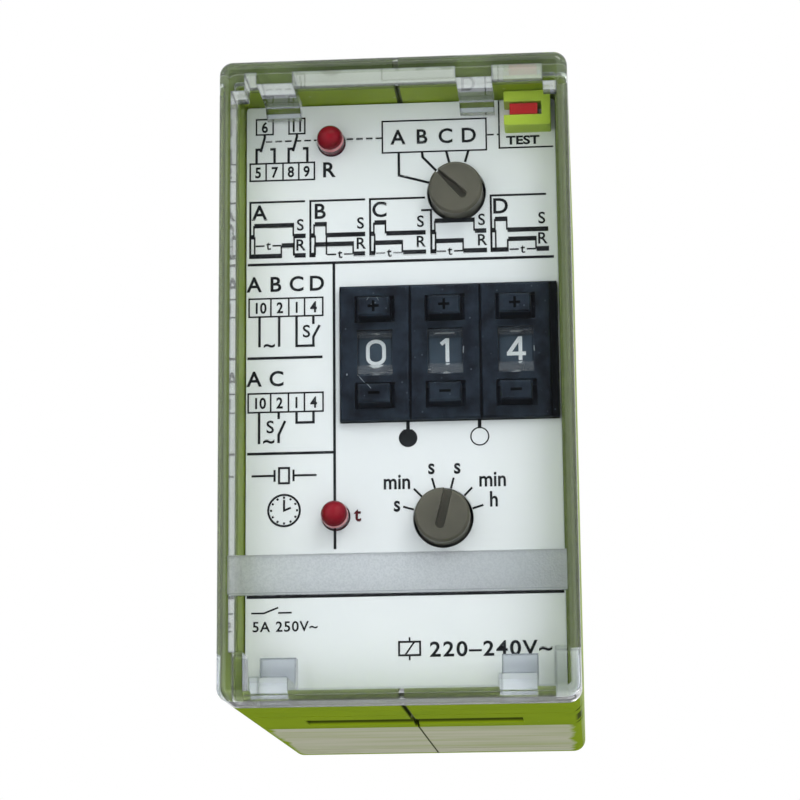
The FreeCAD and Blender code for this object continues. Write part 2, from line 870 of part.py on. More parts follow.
def relay_armature():
    x0 = relay_left
    x1 = relay_left + armature_width
    foot = relay_shelf_top + hinge_gap
    top = pivot_height + armature_body
    finger = rod_width / 2 + key_face[1]
    waist = top - armature_shoulder
    outline = [(x0, foot), (x1, foot), (x1, waist), (test_x + finger, test_z - key_face[1]),
               (test_x + finger, test_z + key_face[1]), (test_x - finger, test_z + key_face[1]),
               (x1 - finger, top), (x0, top)]
    return plate_xz(outline, armature_front, armature_back)


def contact_z(height):
    return pivot_height + height


def leaf_span():
    y1 = armature_front - carrier_depth / 2
    return y1 - contact_leaf, y1


def contact_x():
    return relay_left - contact_reach + contact_radius


def contact_carrier():
    z0 = contact_z(contact_heights[0]) - contact_width / 2 - blade
    z1 = pivot_height + armature_body
    return block(relay_left, relay_left + carrier_width, armature_front - carrier_depth, armature_front,
                 z0, z1)


def moving_contacts():
    y0, y1 = leaf_span()
    solids = []
    for height in contact_heights:
        z = contact_z(height)
        strip = block(relay_left - contact_reach, relay_left, y0, y1,
                      z - contact_width / 2, z + contact_width / 2)
        rivet = rod_y(contact_x(), z, contact_radius, y0 - contact_rise, y1 + contact_rise)
        solids.append(joined([strip, rivet]))
    return Part.makeCompound(solids)


def fixed_contacts():
    y0, y1 = leaf_span()
    swing = test_travel / (test_z - pivot_height)
    x0 = main_board_face + relay_wall
    solids = []
    for height in contact_heights:
        z = contact_z(height)
        stroke = swing * (height + contact_width / 2) + 2 * contact_gap
        z0 = z - contact_width / 2
        z1 = z + contact_width / 2
        rest_face = y0 - contact_rise - contact_gap
        make_face = y1 + contact_rise + stroke
        rest_blade = block(x0, x0 + blade_reach, rest_face - 2 * blade, rest_face - blade, z0, z1)
        rest_rivet = rod_y(contact_x(), z, contact_radius, rest_face - blade, rest_face)
        make_blade = block(x0, x0 + blade_reach, make_face + blade, make_face + 2 * blade, z0, z1)
        make_rivet = rod_y(contact_x(), z, contact_radius, make_face, make_face + blade)
        solids += [joined([rest_blade, rest_rivet]), joined([make_blade, make_rivet])]
    return Part.makeCompound(solids)


# Small components on the main board
def dropper_capacitor():
    return block(main_board_face, main_board_face + dropper_size[0], dropper_front,
                 base_board_y - dropper_foot, dropper_bottom, dropper_top)


def smoothing_capacitor():
    radius, length = smoothing_size
    back_gap, dropper_gap = smoothing_gap
    y = base_board_y - pin_tail - back_gap - radius
    end = main_board_face + length
    return turned_x([(main_board_face, 0), (main_board_face, radius), (end - smoothing_edge, radius),
                     (end, radius - smoothing_edge), (end, 0)], y, dropper_top + dropper_gap + radius)


def quartz_crystal():
    length, width, height = crystal_size
    z = dropper_bottom + crystal_rise
    can = block(main_board_face, main_board_face + height, crystal_front, crystal_front + length,
                z - width / 2, z + width / 2)
    return can.makeFillet(crystal_corner, edges_along(can, vector(1, 0, 0)))


def chip(z):
    length, width, thickness = chip_size
    leg_width, leg_thickness = chip_leg
    y0 = front_board_back + chip_front_gap
    x0 = main_board_face + chip_stand
    pieces = [block(x0, x0 + thickness, y0, y0 + length, z - width / 2, z + width / 2)]
    per_side = chip_legs // 2
    shoulder = x0 + thickness / 2
    for i in range(per_side):
        y = y0 + length / 2 + (i - (per_side - 1) / 2) * lead_spacing
        leg_y = (y - leg_width / 2, y + leg_width / 2)
        for side in (-1, 1):
            outer = z + side * chip_row / 2
            inner = z + side * (width / 2 - leg_width)
            bend = outer - side * leg_thickness
            pieces.append(block(main_board_face, shoulder, *leg_y, min(outer, bend), max(outer, bend)))
            pieces.append(block(shoulder - leg_thickness, shoulder, *leg_y,
                                min(outer, inner), max(outer, inner)))
    return joined(pieces)


def axial_part(y, z, size):
    radius, length = size
    x = main_board_face + wire_height
    half = lead_size / 2
    y0 = y - wire_reach
    y1 = y + length + wire_reach
    pieces = [rod_y(x, z, radius, y, y + length), block(x - half, x + half, y0, y1, z - half, z + half)]
    for end in (y0, y1 - lead_size):
        pieces.append(block(main_board_face, x, end, end + lead_size, z - half, z + half))
    return joined(pieces)


def resistors():
    y = front_board_back + resistor_front_gap + wire_reach
    return Part.makeCompound([axial_part(y, dropper_bottom + rise, resistor_size)
                              for rise in resistor_rises])


def diodes():
    radius, length = diode_size
    y = base_board_y - pin_tail - 2 * wire_reach - length
    top = relay_shelf_bottom - diode_gap - radius
    return Part.makeCompound([axial_part(y, z, diode_size) for z in (top, top - diode_spacing)])


def build():
    os.makedirs("parts", exist_ok=True)
    left, right = housing_halves()
    save("housing_left", left)
    save("housing_right", right)
    save("clear_cover", clear_cover())
    save("face_plate", face_plate())
    save("front_pcb", front_board())
    save("main_pcb", main_board())
    save("plug_base", plug_base())
    save("base_pcb", base_board())
    save("plug_pins", plug_pins())
    function = from_top(function_place)
    time = from_bottom(time_place)
    save("function_selector", selector(function, function_angle, function_tip))
    save("time_selector", selector(time, time_angle, time_tip))
    save("function_switch", switch(function))
    save("time_switch", switch(time))
    save("led_relay", lamp(from_top(relay_lamp_place)))
    save("led_timing", lamp(from_bottom(timing_lamp_place)))
    save("led_leads", lamp_leads())
    save("test_guard", test_guard())
    save("test_key", test_key())
    save("test_spring", test_spring())
    for index in range(module_count):
        number = str(index + 1)
        save("wheel_body_" + number, wheel_body(index))
        save("wheel_window_" + number, wheel_window(index))
        save("digit_drum_" + number, digit_drum(index))
        for side, sign in ((1, "plus"), (-1, "minus")):
            save(sign + "_key_" + number, push_key(index, side))
            save(sign + "_spring_" + number, key_spring(index, side))
    save("wheel_end_plate", wheel_end_plate())
    save("wheel_tie_rods", wheel_tie_rods())
    save("relay_base", relay_base())
    save("relay_yoke", relay_yoke())
    save("relay_core", relay_core())
    save("relay_bobbin", relay_bobbin())
    save("relay_winding", relay_winding())
    save("relay_armature", relay_armature())
    save("contact_carrier", contact_carrier())
    save("moving_contacts", moving_contacts())
    save("fixed_contacts", fixed_contacts())
    save("dropper_capacitor", dropper_capacitor())
    save("smoothing_capacitor", smoothing_capacitor())
    save("quartz_crystal", quartz_crystal())
    save("timer_chip", chip(timer_row))
    save("counter_chip", chip(counter_row))
    save("resistors", resistors())
    save("diodes", diodes())


build()
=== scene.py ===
import bpy
import bmesh
import math
from mathutils import Matrix, Vector


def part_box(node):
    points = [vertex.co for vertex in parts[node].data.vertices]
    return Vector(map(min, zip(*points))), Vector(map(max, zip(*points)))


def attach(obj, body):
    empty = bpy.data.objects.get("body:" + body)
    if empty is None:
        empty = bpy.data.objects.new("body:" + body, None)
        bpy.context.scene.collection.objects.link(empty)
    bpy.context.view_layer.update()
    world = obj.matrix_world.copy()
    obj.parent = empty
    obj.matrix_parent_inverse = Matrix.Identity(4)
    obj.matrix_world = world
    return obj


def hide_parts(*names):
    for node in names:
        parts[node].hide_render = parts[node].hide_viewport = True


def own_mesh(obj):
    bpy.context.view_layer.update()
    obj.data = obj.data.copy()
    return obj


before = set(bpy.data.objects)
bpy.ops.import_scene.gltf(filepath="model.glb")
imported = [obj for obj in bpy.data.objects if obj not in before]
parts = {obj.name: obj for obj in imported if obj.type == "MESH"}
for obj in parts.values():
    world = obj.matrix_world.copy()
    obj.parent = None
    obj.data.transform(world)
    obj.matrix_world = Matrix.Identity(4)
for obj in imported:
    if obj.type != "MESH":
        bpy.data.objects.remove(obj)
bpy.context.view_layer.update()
mm = 0.001
wheelNumbers = (1, 2, 3)
print("frame loaded,", len(parts), "nodes")


# Small helpers for shader trees

# where a noise or a mask goes from none to full
spans = {
    "whole": (0.3, 0.7), "patches": (0.35, 0.68), "clouds": (0.35, 0.65), "rubbed": (0.3, 0.6),
    "tarnish": (0.4, 0.7), "smears": (0.45, 0.75), "smudges": (0.5, 0.8), "flecks": (0.6, 0.75),
    "streaks": (0.70, 0.76), "edges": (0.995, 0.86),
}


def srgb(red, green, blue):
    # a screen colour as the linear one that shaders take
    def toLinear(c):
        c = c / 255
        return c / 12.92 if c <= 0.04045 else ((c + 0.055) / 1.055) ** 2.4
    return (toLinear(red), toLinear(green), toLinear(blue), 1.0)


def addNode(tree, kind, inputs=None, **settings):
    node = tree.nodes.new(kind)
    for key, value in settings.items():
        setattr(node, key, value)
    for key, value in (inputs or {}).items():
        if isinstance(value, bpy.types.NodeSocket):
            tree.links.new(value, node.inputs[key])
        else:
            node.inputs[key].default_value = value
    return node


def startFinish(name):
    finish = bpy.data.materials.new(name)
    finish.use_nodes = True
    tree = finish.node_tree
    place = addNode(tree, "ShaderNodeTexCoord").outputs["Object"]
    return finish, tree, tree.nodes["Principled BSDF"], place


def join(tree, surface, colour, rough, normal):
    for name, value in (("Base Color", colour), ("Roughness", rough), ("Normal", normal)):
        tree.links.new(value, surface.inputs[name])


def noise(tree, place, scale, detail=3.0):
    names = {"Vector": place, "Scale": scale, "Detail": detail}
    return addNode(tree, "ShaderNodeTexNoise", names).outputs["Fac"]


def stretched(tree, place, scale, turn=(0.0, 0.0, 0.0)):
    # the place pulled out along the axes, for streaks and drawn grain
    names = {"Vector": place, "Rotation": turn, "Scale": scale}
    return addNode(tree, "ShaderNodeMapping", names).outputs[0]


def spread(tree, value, fromLow, fromHigh, toLow=0.0, toHigh=1.0):
    names = {"Value": value, "From Min": fromLow, "From Max": fromHigh, "To Min": toLow, "To Max": toHigh}
    return addNode(tree, "ShaderNodeMapRange", names).outputs["Result"]


def sums(tree, operation, first, second):
    return addNode(tree, "ShaderNodeMath", {0: first, 1: second}, operation=operation).outputs[0]


def product(tree, *values):
    total = values[0]
    for value in values[1:]:
        total = sums(tree, "MULTIPLY", total, value)
    return total


def under(tree, value, limit):
    return sums(tree, "LESS_THAN", value, limit)


def over(tree, value, limit):
    return sums(tree, "GREATER_THAN", value, limit)


def within(tree, value, low, high):
    return product(tree, over(tree, value, low), under(tree, value, high))


def blend(tree, share, first, second):
    # the colours of a mix node are its sockets 6 and 7
    return addNode(tree, "ShaderNodeMix", {0: share, 6: first, 7: second}, data_type="RGBA").outputs[2]


def dotOf(tree, first, second):
    names = {0: first, 1: second}
    return addNode(tree, "ShaderNodeVectorMath", names, operation="DOT_PRODUCT").outputs["Value"]


def axesOf(tree, place):
    # the three coordinates, and the distances from the middle planes
    axes = addNode(tree, "ShaderNodeSeparateXYZ", {"Vector": place}).outputs
    sideways, upDown = (sums(tree, "ABSOLUTE", axes[name], 0.0) for name in "XZ")
    return {"x": axes["X"], "y": axes["Y"], "z": axes["Z"], "sideways": sideways, "upDown": upDown}


def specks(tree, place, scale, size):
    # round flecks, one in some of the cells of a Voronoi pattern
    cells = addNode(tree, "ShaderNodeTexVoronoi", {"Vector": place, "Scale": scale})
    chosen = addNode(tree, "ShaderNodeSeparateColor", {"Color": cells.outputs["Color"]}).outputs[0]
    dot = spread(tree, cells.outputs["Distance"], size, size / 2)
    return product(tree, dot, spread(tree, chosen, *spans["flecks"]))


def scratches(tree, place, turn, length=220.0, width=9000.0):
    # long thin streaks, a noise pulled out along one direction
    streaks = stretched(tree, place, (length, length, width), turn)
    return spread(tree, noise(tree, streaks, 1.0, detail=1.0), *spans["streaks"])


def softEdges(tree, radius):
    rounded = addNode(tree, "ShaderNodeBevel", {"Radius": radius}, samples=6).outputs[0]
    plain = addNode(tree, "ShaderNodeNewGeometry").outputs["Normal"]
    return rounded, spread(tree, dotOf(tree, rounded, plain), *spans["edges"])


def relief(tree, height, depth, normal=None):
    names = {"Strength": 1.0, "Distance": depth, "Height": height}
    if normal is not None:
        names["Normal"] = normal
    return addNode(tree, "ShaderNodeBump", names).outputs["Normal"]


# Marks of use, and painted shade, on the shells and the push-wheel bank

def paleFilm(tree, place, look):
    # rubbed, dusty film on the rear of the bottom face, gone at the edges
    at = axesOf(tree, place)
    outside = under(tree, at["z"], -look["skin"])
    streaky = noise(tree, stretched(tree, place, look["filmStreaks"]), 1.0)
    ragged = spread(tree, streaky, *spans["whole"], -look["filmRagged"], look["filmRagged"])
    sideFade, frontFade, backFade = look["filmFade"]
    toSide = sums(tree, "ADD", at["sideways"], ragged)
    side = spread(tree, toSide, look["filmSide"], look["filmSide"] - sideFade)
    front = spread(tree, at["y"], look["filmFrom"], look["filmFrom"] + frontFade)
    back = spread(tree, at["y"], look["filmTo"], look["filmTo"] - backFade)
    thinnest = look["filmShare"] * look["filmThin"]
    patchy = spread(tree, streaky, *spans["rubbed"], thinnest, look["filmShare"])
    return product(tree, outside, side, front, back, patchy)


def paintedRimShade(tree, place, look):
    # painted shade on the front rim that the cover stands on
    return product(tree, under(tree, axesOf(tree, place)["y"], look["rimFrom"]), look["rimShadeShare"])


def innerWallShade(tree, place, look):
    # painted shade on the walls in front of the plate, as if cast by the rim, most of all on the left
    at = axesOf(tree, place)
    clear, skin = look["wallSide"]
    inside = product(tree, under(tree, at["sideways"], skin), under(tree, at["upDown"], look["wallTop"]))
    share = spread(tree, at["x"], -clear, -skin, *look["wallShadeShare"])
    return product(tree, inside, under(tree, at["y"], look["wallFrom"]), share)


def sunkDirtAndShade(tree, place, look):
    # grime and painted shade in the finger scoops and the grooves, and a dark line at the seam
    at = axesOf(tree, place)
    below = spread(tree, at["upDown"], look["skin"], look["skin"] - look["dirtAndShadeFade"])
    beside = spread(tree, at["sideways"], look["sideSkin"], look["sideSkin"] - look["dirtAndShadeFade"])
    lines = within(tree, at["x"], -look["seam"], look["seam"])
    for low, high in look["sunk"]:
        lines = sums(tree, "MAXIMUM", lines, within(tree, at["y"], low, high))
    return product(tree, below, beside, lines, look["dirtAndShadeShare"])


def seamGrime(tree, place, look):
    # the dark line of the seam along the bottom face
    at = axesOf(tree, place)
    below = under(tree, at["z"], look["seamDepth"] - look["skin"])
    return product(tree, below, under(tree, at["sideways"], look["seamLine"]), look["dirtAndShadeShare"])


def scrapes(tree, place, look):
    # short light scratches on the front: middle x and z, direction in degrees, length, width
    found = 0.0
    for midX, midZ, turn, length, width in look["scrapes"]:
        middle = {0: place, 1: (midX * mm, 0.0, midZ * mm)}
        offset = addNode(tree, "ShaderNodeVectorMath", middle, operation="SUBTRACT").outputs[0]
        across = []
        for angle, reach in ((turn, length), (turn + 90, width)):
            way = (math.cos(math.radians(angle)), 0.0, math.sin(math.radians(angle)))
            across.append(within(tree, dotOf(tree, offset, way), -reach / 2 * mm, reach / 2 * mm))
        found = sums(tree, "MAXIMUM", found, product(tree, *across))
    front = under(tree, axesOf(tree, place)["y"], look["scrapeFrom"])
    return product(tree, found, front, look["scrapeShare"])


def jointLines(tree, place, look):
    # dark lines where one module meets the next
    x, half = axesOf(tree, place)["x"], look["jointHalf"]
    lines = 0.0
    for joint in look["joints"]:
        lines = sums(tree, "MAXIMUM", lines, within(tree, x, joint - half, joint + half))
    return lines


# Plastics and metals

mouldedBase = {
    "wornLeast": 0.2, "scratchTurn": (0.3, 0.9, 0.6), "scratchRough": 0.12, "scratchDepth": 0.5,
    "gloss": 0.4, "marks": (),
}
metalBase = {"patch": 260.0, "drawn": (900.0, 6000.0, 900.0), "relief": 0.004 * mm}


def moulded(name, look):
    # plastics: two shades, grain, rubbed edges, dust and a few scratches
    look = {**mouldedBase, **look}
    finish, tree, surface, place = startFinish(name)
    mottle = noise(tree, place, look["mottle"], detail=4.0)
    grain = noise(tree, place, look["grain"], detail=2.0)
    normal, edge = softEdges(tree, look["soften"])
    colour = blend(tree, spread(tree, mottle, *spans["patches"]), look["colour"], look["shade"])
    worn = product(tree, edge, spread(tree, mottle, *spans["rubbed"], look["wornLeast"], look["wear"]))
    colour = blend(tree, worn, colour, look["worn"])
    dust = product(tree, specks(tree, place, look["dustScale"], look["dustSize"]), look["dust"])
    colour = blend(tree, dust, colour, look["dustColour"])
    # the look's marks, some of them painted shade
    for share, mark in look["marks"]:
        colour = blend(tree, share(tree, place, look), colour, look[mark])
    scored = scratches(tree, place, look["scratchTurn"])
    rough = sums(tree, "ADD", spread(tree, mottle, *spans["whole"], *look["rough"]),
                 product(tree, scored, look["scratchRough"]))
    if "dull" in look:  # the dusty underside
        below = under(tree, axesOf(tree, place)["z"], look["dullDepth"] - look["skin"])
        rough = sums(tree, "ADD", rough, product(tree, below, look["dull"]))
    height = sums(tree, "SUBTRACT", grain, product(tree, scored, look["scratchDepth"]))
    join(tree, surface, colour, rough, relief(tree, height, look["relief"], normal))
    surface.inputs["Specular IOR Level"].default_value = look["gloss"]
    return finish


def metal(name, look):
    # metals: drawn or rolled grain, tarnish in patches
    look = {**metalBase, **look}
    finish, tree, surface, place = startFinish(name)
    tarnish = noise(tree, place, look["patch"], detail=5.0)
    lines = noise(tree, stretched(tree, place, look["drawn"]), 1.0, detail=2.0)
    colour = blend(tree, spread(tree, tarnish, *spans["tarnish"]), look["colour"], look["tarnish"])
    rough = spread(tree, tarnish, *spans["whole"], *look["rough"])
    join(tree, surface, colour, rough, relief(tree, lines, look["relief"]))
    surface.inputs["Metallic"].default_value = 1.0
    return finish


def dress(finish, *names):
    for name in names:
        slots = parts[name].data.materials
        slots.clear()
        slots.append(finish)


def ofWheels(*names):
    # the same pieces of each push-wheel module
    return [f"{name}_{n}" for n in wheelNumbers for name in names]


# Housing shells and the guard of the test key

limeLook = {
    "colour": srgb(138, 161, 17), "shade": srgb(131, 155, 15), "mottle": 130.0, "grain": 5200.0,
    "soften": 0.2 * mm, "wear": 0.5, "worn": srgb(176, 196, 70), "dust": 0.25, "dustScale": 420.0,
    "dustSize": 0.10, "dustColour": srgb(205, 210, 180), "rough": (0.34, 0.48), "relief": 0.006 * mm,
    "gloss": 0.15,
}
shellLook = dict(
    limeLook, gloss=0.08, skin=34.9 * mm, sideSkin=18.9 * mm, dull=0.7, dullDepth=0.5 * mm,
    marks=((paleFilm, "film"), (innerWallShade, "wallShade"), (paintedRimShade, "rimShade"), (sunkDirtAndShade, "dirtAndShade"),
           (seamGrime, "dirtAndShade")),
    film=srgb(202, 199, 180), filmShare=0.9, filmThin=0.6, filmFrom=-39.2 * mm, filmTo=-2.4 * mm,
    filmSide=17.8 * mm, filmFade=(0.6 * mm, 0.5 * mm, 0.4 * mm), filmRagged=0.55 * mm,
    filmStreaks=(40.0, 330.0, 40.0),
    # painted shade on the inner walls in front of the plate
    wallShade=srgb(88, 98, 44), wallShadeShare=(0.2, 0.8), wallSide=(17.2 * mm, 18.1 * mm), wallTop=34.1 * mm,
    wallFrom=-59.4 * mm,
    # painted shade on the front rim under the cover
    rimShade=srgb(98, 110, 74), rimShadeShare=0.75, rimFrom=-64.3 * mm,
    # dirt at the seam and in the grooves, with painted shade in the scoops
    dirtAndShade=srgb(46, 54, 2), dirtAndShadeShare=0.9, dirtAndShadeFade=0.2 * mm,
    seam=0.32 * mm, seamLine=0.11 * mm, seamDepth=0.3 * mm,
    sunk=((-54.4 * mm, -53.2 * mm), (-49.5 * mm, -42.5 * mm), (-40.6 * mm, -39.3 * mm)),
)
dress(moulded("limeShell", shellLook), "housing_left", "housing_right")
# the guard: the lime of the shells, painted lighter for the stronger light on it
litGuardLook = dict(limeLook, colour=srgb(172, 197, 66), shade=srgb(162, 188, 58), worn=srgb(198, 214, 116))
dress(moulded("limeGuardLit", litGuardLook), "test_guard")


# Clear cover with its frosted band, and the three drum windows

coverLook = {
    "tint": (0.985, 0.99, 0.985, 1.0), "smudged": (0.96, 0.97, 0.96, 1.0), "smudge": 55.0, "ior": 1.49,
    "polish": (0.0, 0.03), "sideFace": 17.4 * mm, "topFace": 33.4 * mm, "wallHaze": 0.06,
    "topTint": (0.66, 0.71, 0.62, 1.0), "satin": 0.4, "satinTint": (0.58, 0.6, 0.62, 1.0),
    # the dark satin colour is that of the painted shade on the satin
    "satinLight": (0.74, 0.755, 0.775, 1.0), "satinShadeColour": (0.36, 0.38, 0.4, 1.0), "satinGrain": 5200.0,
    # the edge colour is painted shade along the edges
    "relief": 0.03 * mm, "soften": 0.42 * mm, "edgeShade": (0.3, 0.32, 0.35, 1.0),
    "hookTint": (0.78, 0.8, 0.84, 1.0), "hookFrom": -70.2 * mm, "scratchTurn": (0.2, 0.5, 0.1),
    "scratchSize": (60.0, 6000.0), "scratchRough": 0.06, "scratchDepth": 0.015,
}
# shaded and shade: where the painted shade on the strip grows to the right, and its full share
frostedBand = {
    "low": -23.85 * mm, "high": -19.75 * mm, "front": -69.0 * mm, "reach": 17.75 * mm,
    "rule": 0.12 * mm, "shaded": (2.0 * mm, 13.0 * mm), "shade": 0.45,
}
paneLook = dict(coverLook, satin=0.2, satinTint=(0.62, 0.66, 0.7, 1.0), hookFrom=0.0)
paneFlat = {"low": 2.9 * mm, "high": 6.45 * mm}


def bandMask(tree, place):
    # the frosted strip that crosses the front of the cover
    at = axesOf(tree, place)
    front = product(tree, under(tree, at["y"], frostedBand["front"]),
                    within(tree, at["x"], -frostedBand["reach"], frostedBand["reach"]))
    return product(tree, within(tree, at["z"], frostedBand["low"], frostedBand["high"]), front)


def paintedBandShade(tree, place):
    # painted shade: the strip is darker to the right and along its two edges
    at, rule = axesOf(tree, place), frostedBand["rule"]
    inner = within(tree, at["z"], frostedBand["low"] + rule, frostedBand["high"] - rule)
    toRight = spread(tree, at["x"], *frostedBand["shaded"], 0.0, frostedBand["shade"])
    return sums(tree, "MAXIMUM", toRight, sums(tree, "SUBTRACT", 1.0, inner))


def bevelMask(tree, place):
    # the sloped top and bottom edges of a drum window
    flat = within(tree, axesOf(tree, place)["z"], paneFlat["low"], paneFlat["high"])
    return sums(tree, "SUBTRACT", 1.0, flat)


def noShade(tree, place):
    return 0.0


def hookMask(tree, place, look):
    # the arms and lugs inside the cover, greyer than its walls
    at = axesOf(tree, place)
    inside = product(tree, under(tree, at["sideways"], look["sideFace"]),
                     under(tree, at["upDown"], look["topFace"]))
    return product(tree, inside, over(tree, at["y"], look["hookFrom"]))


def clearFinish(name, look, satinMask, satinPaintedShade):
    # clear plastic: smudges, fine scratches, hazy walls, greyer hooks, painted shade along the edges, and a
    # satin part with its own painted shade
    finish, tree, surface, place = startFinish(name)
    smudge = noise(tree, place, look["smudge"], detail=4.0)
    scored = scratches(tree, place, look["scratchTurn"], *look["scratchSize"])
    satin = satinMask(tree, place)
    grain = noise(tree, place, look["satinGrain"], detail=2.0)
    at = axesOf(tree, place)
    top = over(tree, at["z"], look["topFace"])
    walls = sums(tree, "MAXIMUM", over(tree, at["sideways"], look["sideFace"]), top)
    rough = spread(tree, smudge, *spans["smears"], *look["polish"])
    for share, amount in ((scored, "scratchRough"), (satin, "satin"), (walls, "wallHaze")):
        rough = sums(tree, "ADD", rough, product(tree, share, look[amount]))
    height = sums(tree, "SUBTRACT", product(tree, satin, grain), product(tree, scored, look["scratchDepth"]))
    colour = blend(tree, spread(tree, smudge, *spans["smudges"]), look["tint"], look["smudged"])
    colour = blend(tree, top, colour, look["topTint"])
    colour = blend(tree, hookMask(tree, place, look), colour, look["hookTint"])
    # painted shade along the edges of the clear parts
    colour = blend(tree, softEdges(tree, look["soften"])[1], colour, look["edgeShade"])
    cloudy = blend(tree, spread(tree, grain, *spans["clouds"]), look["satinTint"], look["satinLight"])
    # painted shade on the satin
    cloudy = blend(tree, satinPaintedShade(tree, place), cloudy, look["satinShadeColour"])
    colour = blend(tree, satin, colour, cloudy)
    join(tree, surface, colour, rough, relief(tree, height, look["relief"]))
    surface.inputs["Transmission Weight"].default_value = 1.0
    surface.inputs["IOR"].default_value = look["ior"]
    return finish


dress(clearFinish("clearPlastic", coverLook, bandMask, paintedBandShade), "clear_cover")
dress(clearFinish("windowPlastic", paneLook, bevelMask, noShade), *ofWheels("wheel_window"))


# Face plate

plateLook = {
    "colour": srgb(233, 237, 239), "shade": srgb(226, 231, 234), "mottle": 60.0, "grain": 3000.0,
    "soften": 0.1 * mm, "wear": 0.2, "worn": srgb(205, 208, 205), "dust": 0.35, "dustScale": 300.0,
    "dustSize": 0.05, "dustColour": srgb(150, 150, 140), "rough": (0.42, 0.55), "relief": 0.003 * mm,
}
dress(moulded("plateWhite", plateLook), "face_plate")


# Push-wheel bank: black mouldings, grey drums

bankLook = {
    "colour": srgb(8, 15, 27), "shade": srgb(36, 47, 59), "mottle": 480.0, "grain": 5200.0,
    "soften": 0.15 * mm, "wear": 0.55, "worn": srgb(58, 68, 80), "dust": 0.6, "dustScale": 1300.0,
    "dustSize": 0.16, "dustColour": srgb(84, 96, 108), "rough": (0.45, 0.62), "relief": 0.006 * mm,
    "gloss": 0.12,
}
moduleLook = dict(
    bankLook, marks=((jointLines, "joint"), (scrapes, "scraped")), joint=srgb(4, 6, 10), jointHalf=0.1 * mm,
    joints=[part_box(f"wheel_body_{n}")[1][0] for n in wheelNumbers],
    scraped=srgb(150, 160, 168), scrapeShare=0.75, scrapeFrom=-60.3 * mm,
    scrapes=((-4.02, 0.78, -50, 2.2, 0.07), (6.8, 4.4, 86, 0.8, 0.12), (14.6, 4.36, 94, 0.6, 0.1),
             (-3.5, 10.3, 62, 0.9, 0.04), (-2.6, 10.2, 118, 0.8, 0.04), (-3.0, 9.5, 20, 0.7, 0.04),
             (-6.1, 1.9, 80, 0.2, 0.14)),
)
dress(moulded("bankBlack", moduleLook), *ofWheels("wheel_body", "plus_key", "minus_key"))
# the end plate: the bank's black painted darker, as painted shade for the recess it sits in
shadedEndLook = dict(bankLook, colour=srgb(7, 10, 14), shade=srgb(10, 14, 19), worn=srgb(34, 40, 46), gloss=0.03)
dress(moulded("bankEndShaded", shadedEndLook), "wheel_end_plate")
drumLook = dict(bankLook, colour=srgb(66, 80, 94), shade=srgb(58, 71, 86), worn=srgb(90, 98, 104), dust=0.25,
                rough=(0.45, 0.6))
dress(moulded("drumGrey", drumLook), *ofWheels("digit_drum"))


# Selectors, lamps and the test key

selectorLook = {
    "colour": srgb(88, 86, 75), "shade": srgb(78, 76, 66), "mottle": 300.0, "grain": 4200.0,
    "soften": 0.15 * mm, "wear": 0.6, "worn": srgb(124, 121, 108), "dust": 0.4, "dustScale": 900.0,
    "dustSize": 0.08, "dustColour": srgb(58, 55, 47), "rough": (0.38, 0.52), "relief": 0.008 * mm,
    "gloss": 0.3,
}
dress(moulded("selectorBrown", selectorLook), "function_selector", "time_selector")
keyLook = dict(selectorLook, colour=srgb(200, 36, 38), shade=srgb(184, 28, 32), worn=srgb(214, 92, 86),
               dustColour=srgb(110, 50, 46), rough=(0.3, 0.42))
dress(moulded("keyRed", keyLook), "test_key")

lampLook = {
    # painted shade from the top of the dome to its rim
    "colour": srgb(148, 2, 28), "edgeShadeColour": srgb(94, 0, 18), "dome": (-62.5 * mm, -61.5 * mm), "swirl": 700.0,
    "uneven": 0.12, "rough": (0.03, 0.08), "relief": 0.004 * mm,
    # a ring of painted glow, and a painted shadow on the foot
    "paintedGlow": srgb(236, 150, 156), "paintedGlowShare": 0.8, "paintedGlowSpan": (-61.55 * mm, -60.85 * mm),
    "foot": srgb(84, 0, 26), "footShadeFrom": -60.85 * mm,
    "sockets": {"Transmission Weight": 0.12, "IOR": 1.22, "Coat Weight": 0.3, "Specular IOR Level": 0.1},
}


def lampFinish(name, look):
    # red resin with painted shade deeper towards the rim, a painted glow in a pale ring and a painted shadow
    # on the dark foot
    finish, tree, surface, place = startFinish(name)
    swirl = noise(tree, place, look["swirl"])
    y = axesOf(tree, place)["y"]
    uneven = spread(tree, swirl, *spans["whole"], -look["uneven"], look["uneven"])
    toEdgeShade = sums(tree, "ADD", spread(tree, y, *look["dome"]), uneven)
    # painted shade towards the rim
    colour = blend(tree, toEdgeShade, look["colour"], look["edgeShadeColour"])
    # painted glow in a pale ring
    paintedGlow = product(tree, within(tree, y, *look["paintedGlowSpan"]), look["paintedGlowShare"])
    colour = blend(tree, paintedGlow, colour, look["paintedGlow"])
    # painted shadow on the foot
    colour = blend(tree, over(tree, y, look["footShadeFrom"]), colour, look["foot"])
    rough = spread(tree, swirl, *spans["whole"], *look["rough"])
    join(tree, surface, colour, rough, relief(tree, swirl, look["relief"]))
    for socket, value in look["sockets"].items():
        surface.inputs[socket].default_value = value
    return finish


dress(lampFinish("lampRed", lampLook), "led_relay", "led_timing")
print("front finishes made")


# Pieces behind the plate and the plug at the back

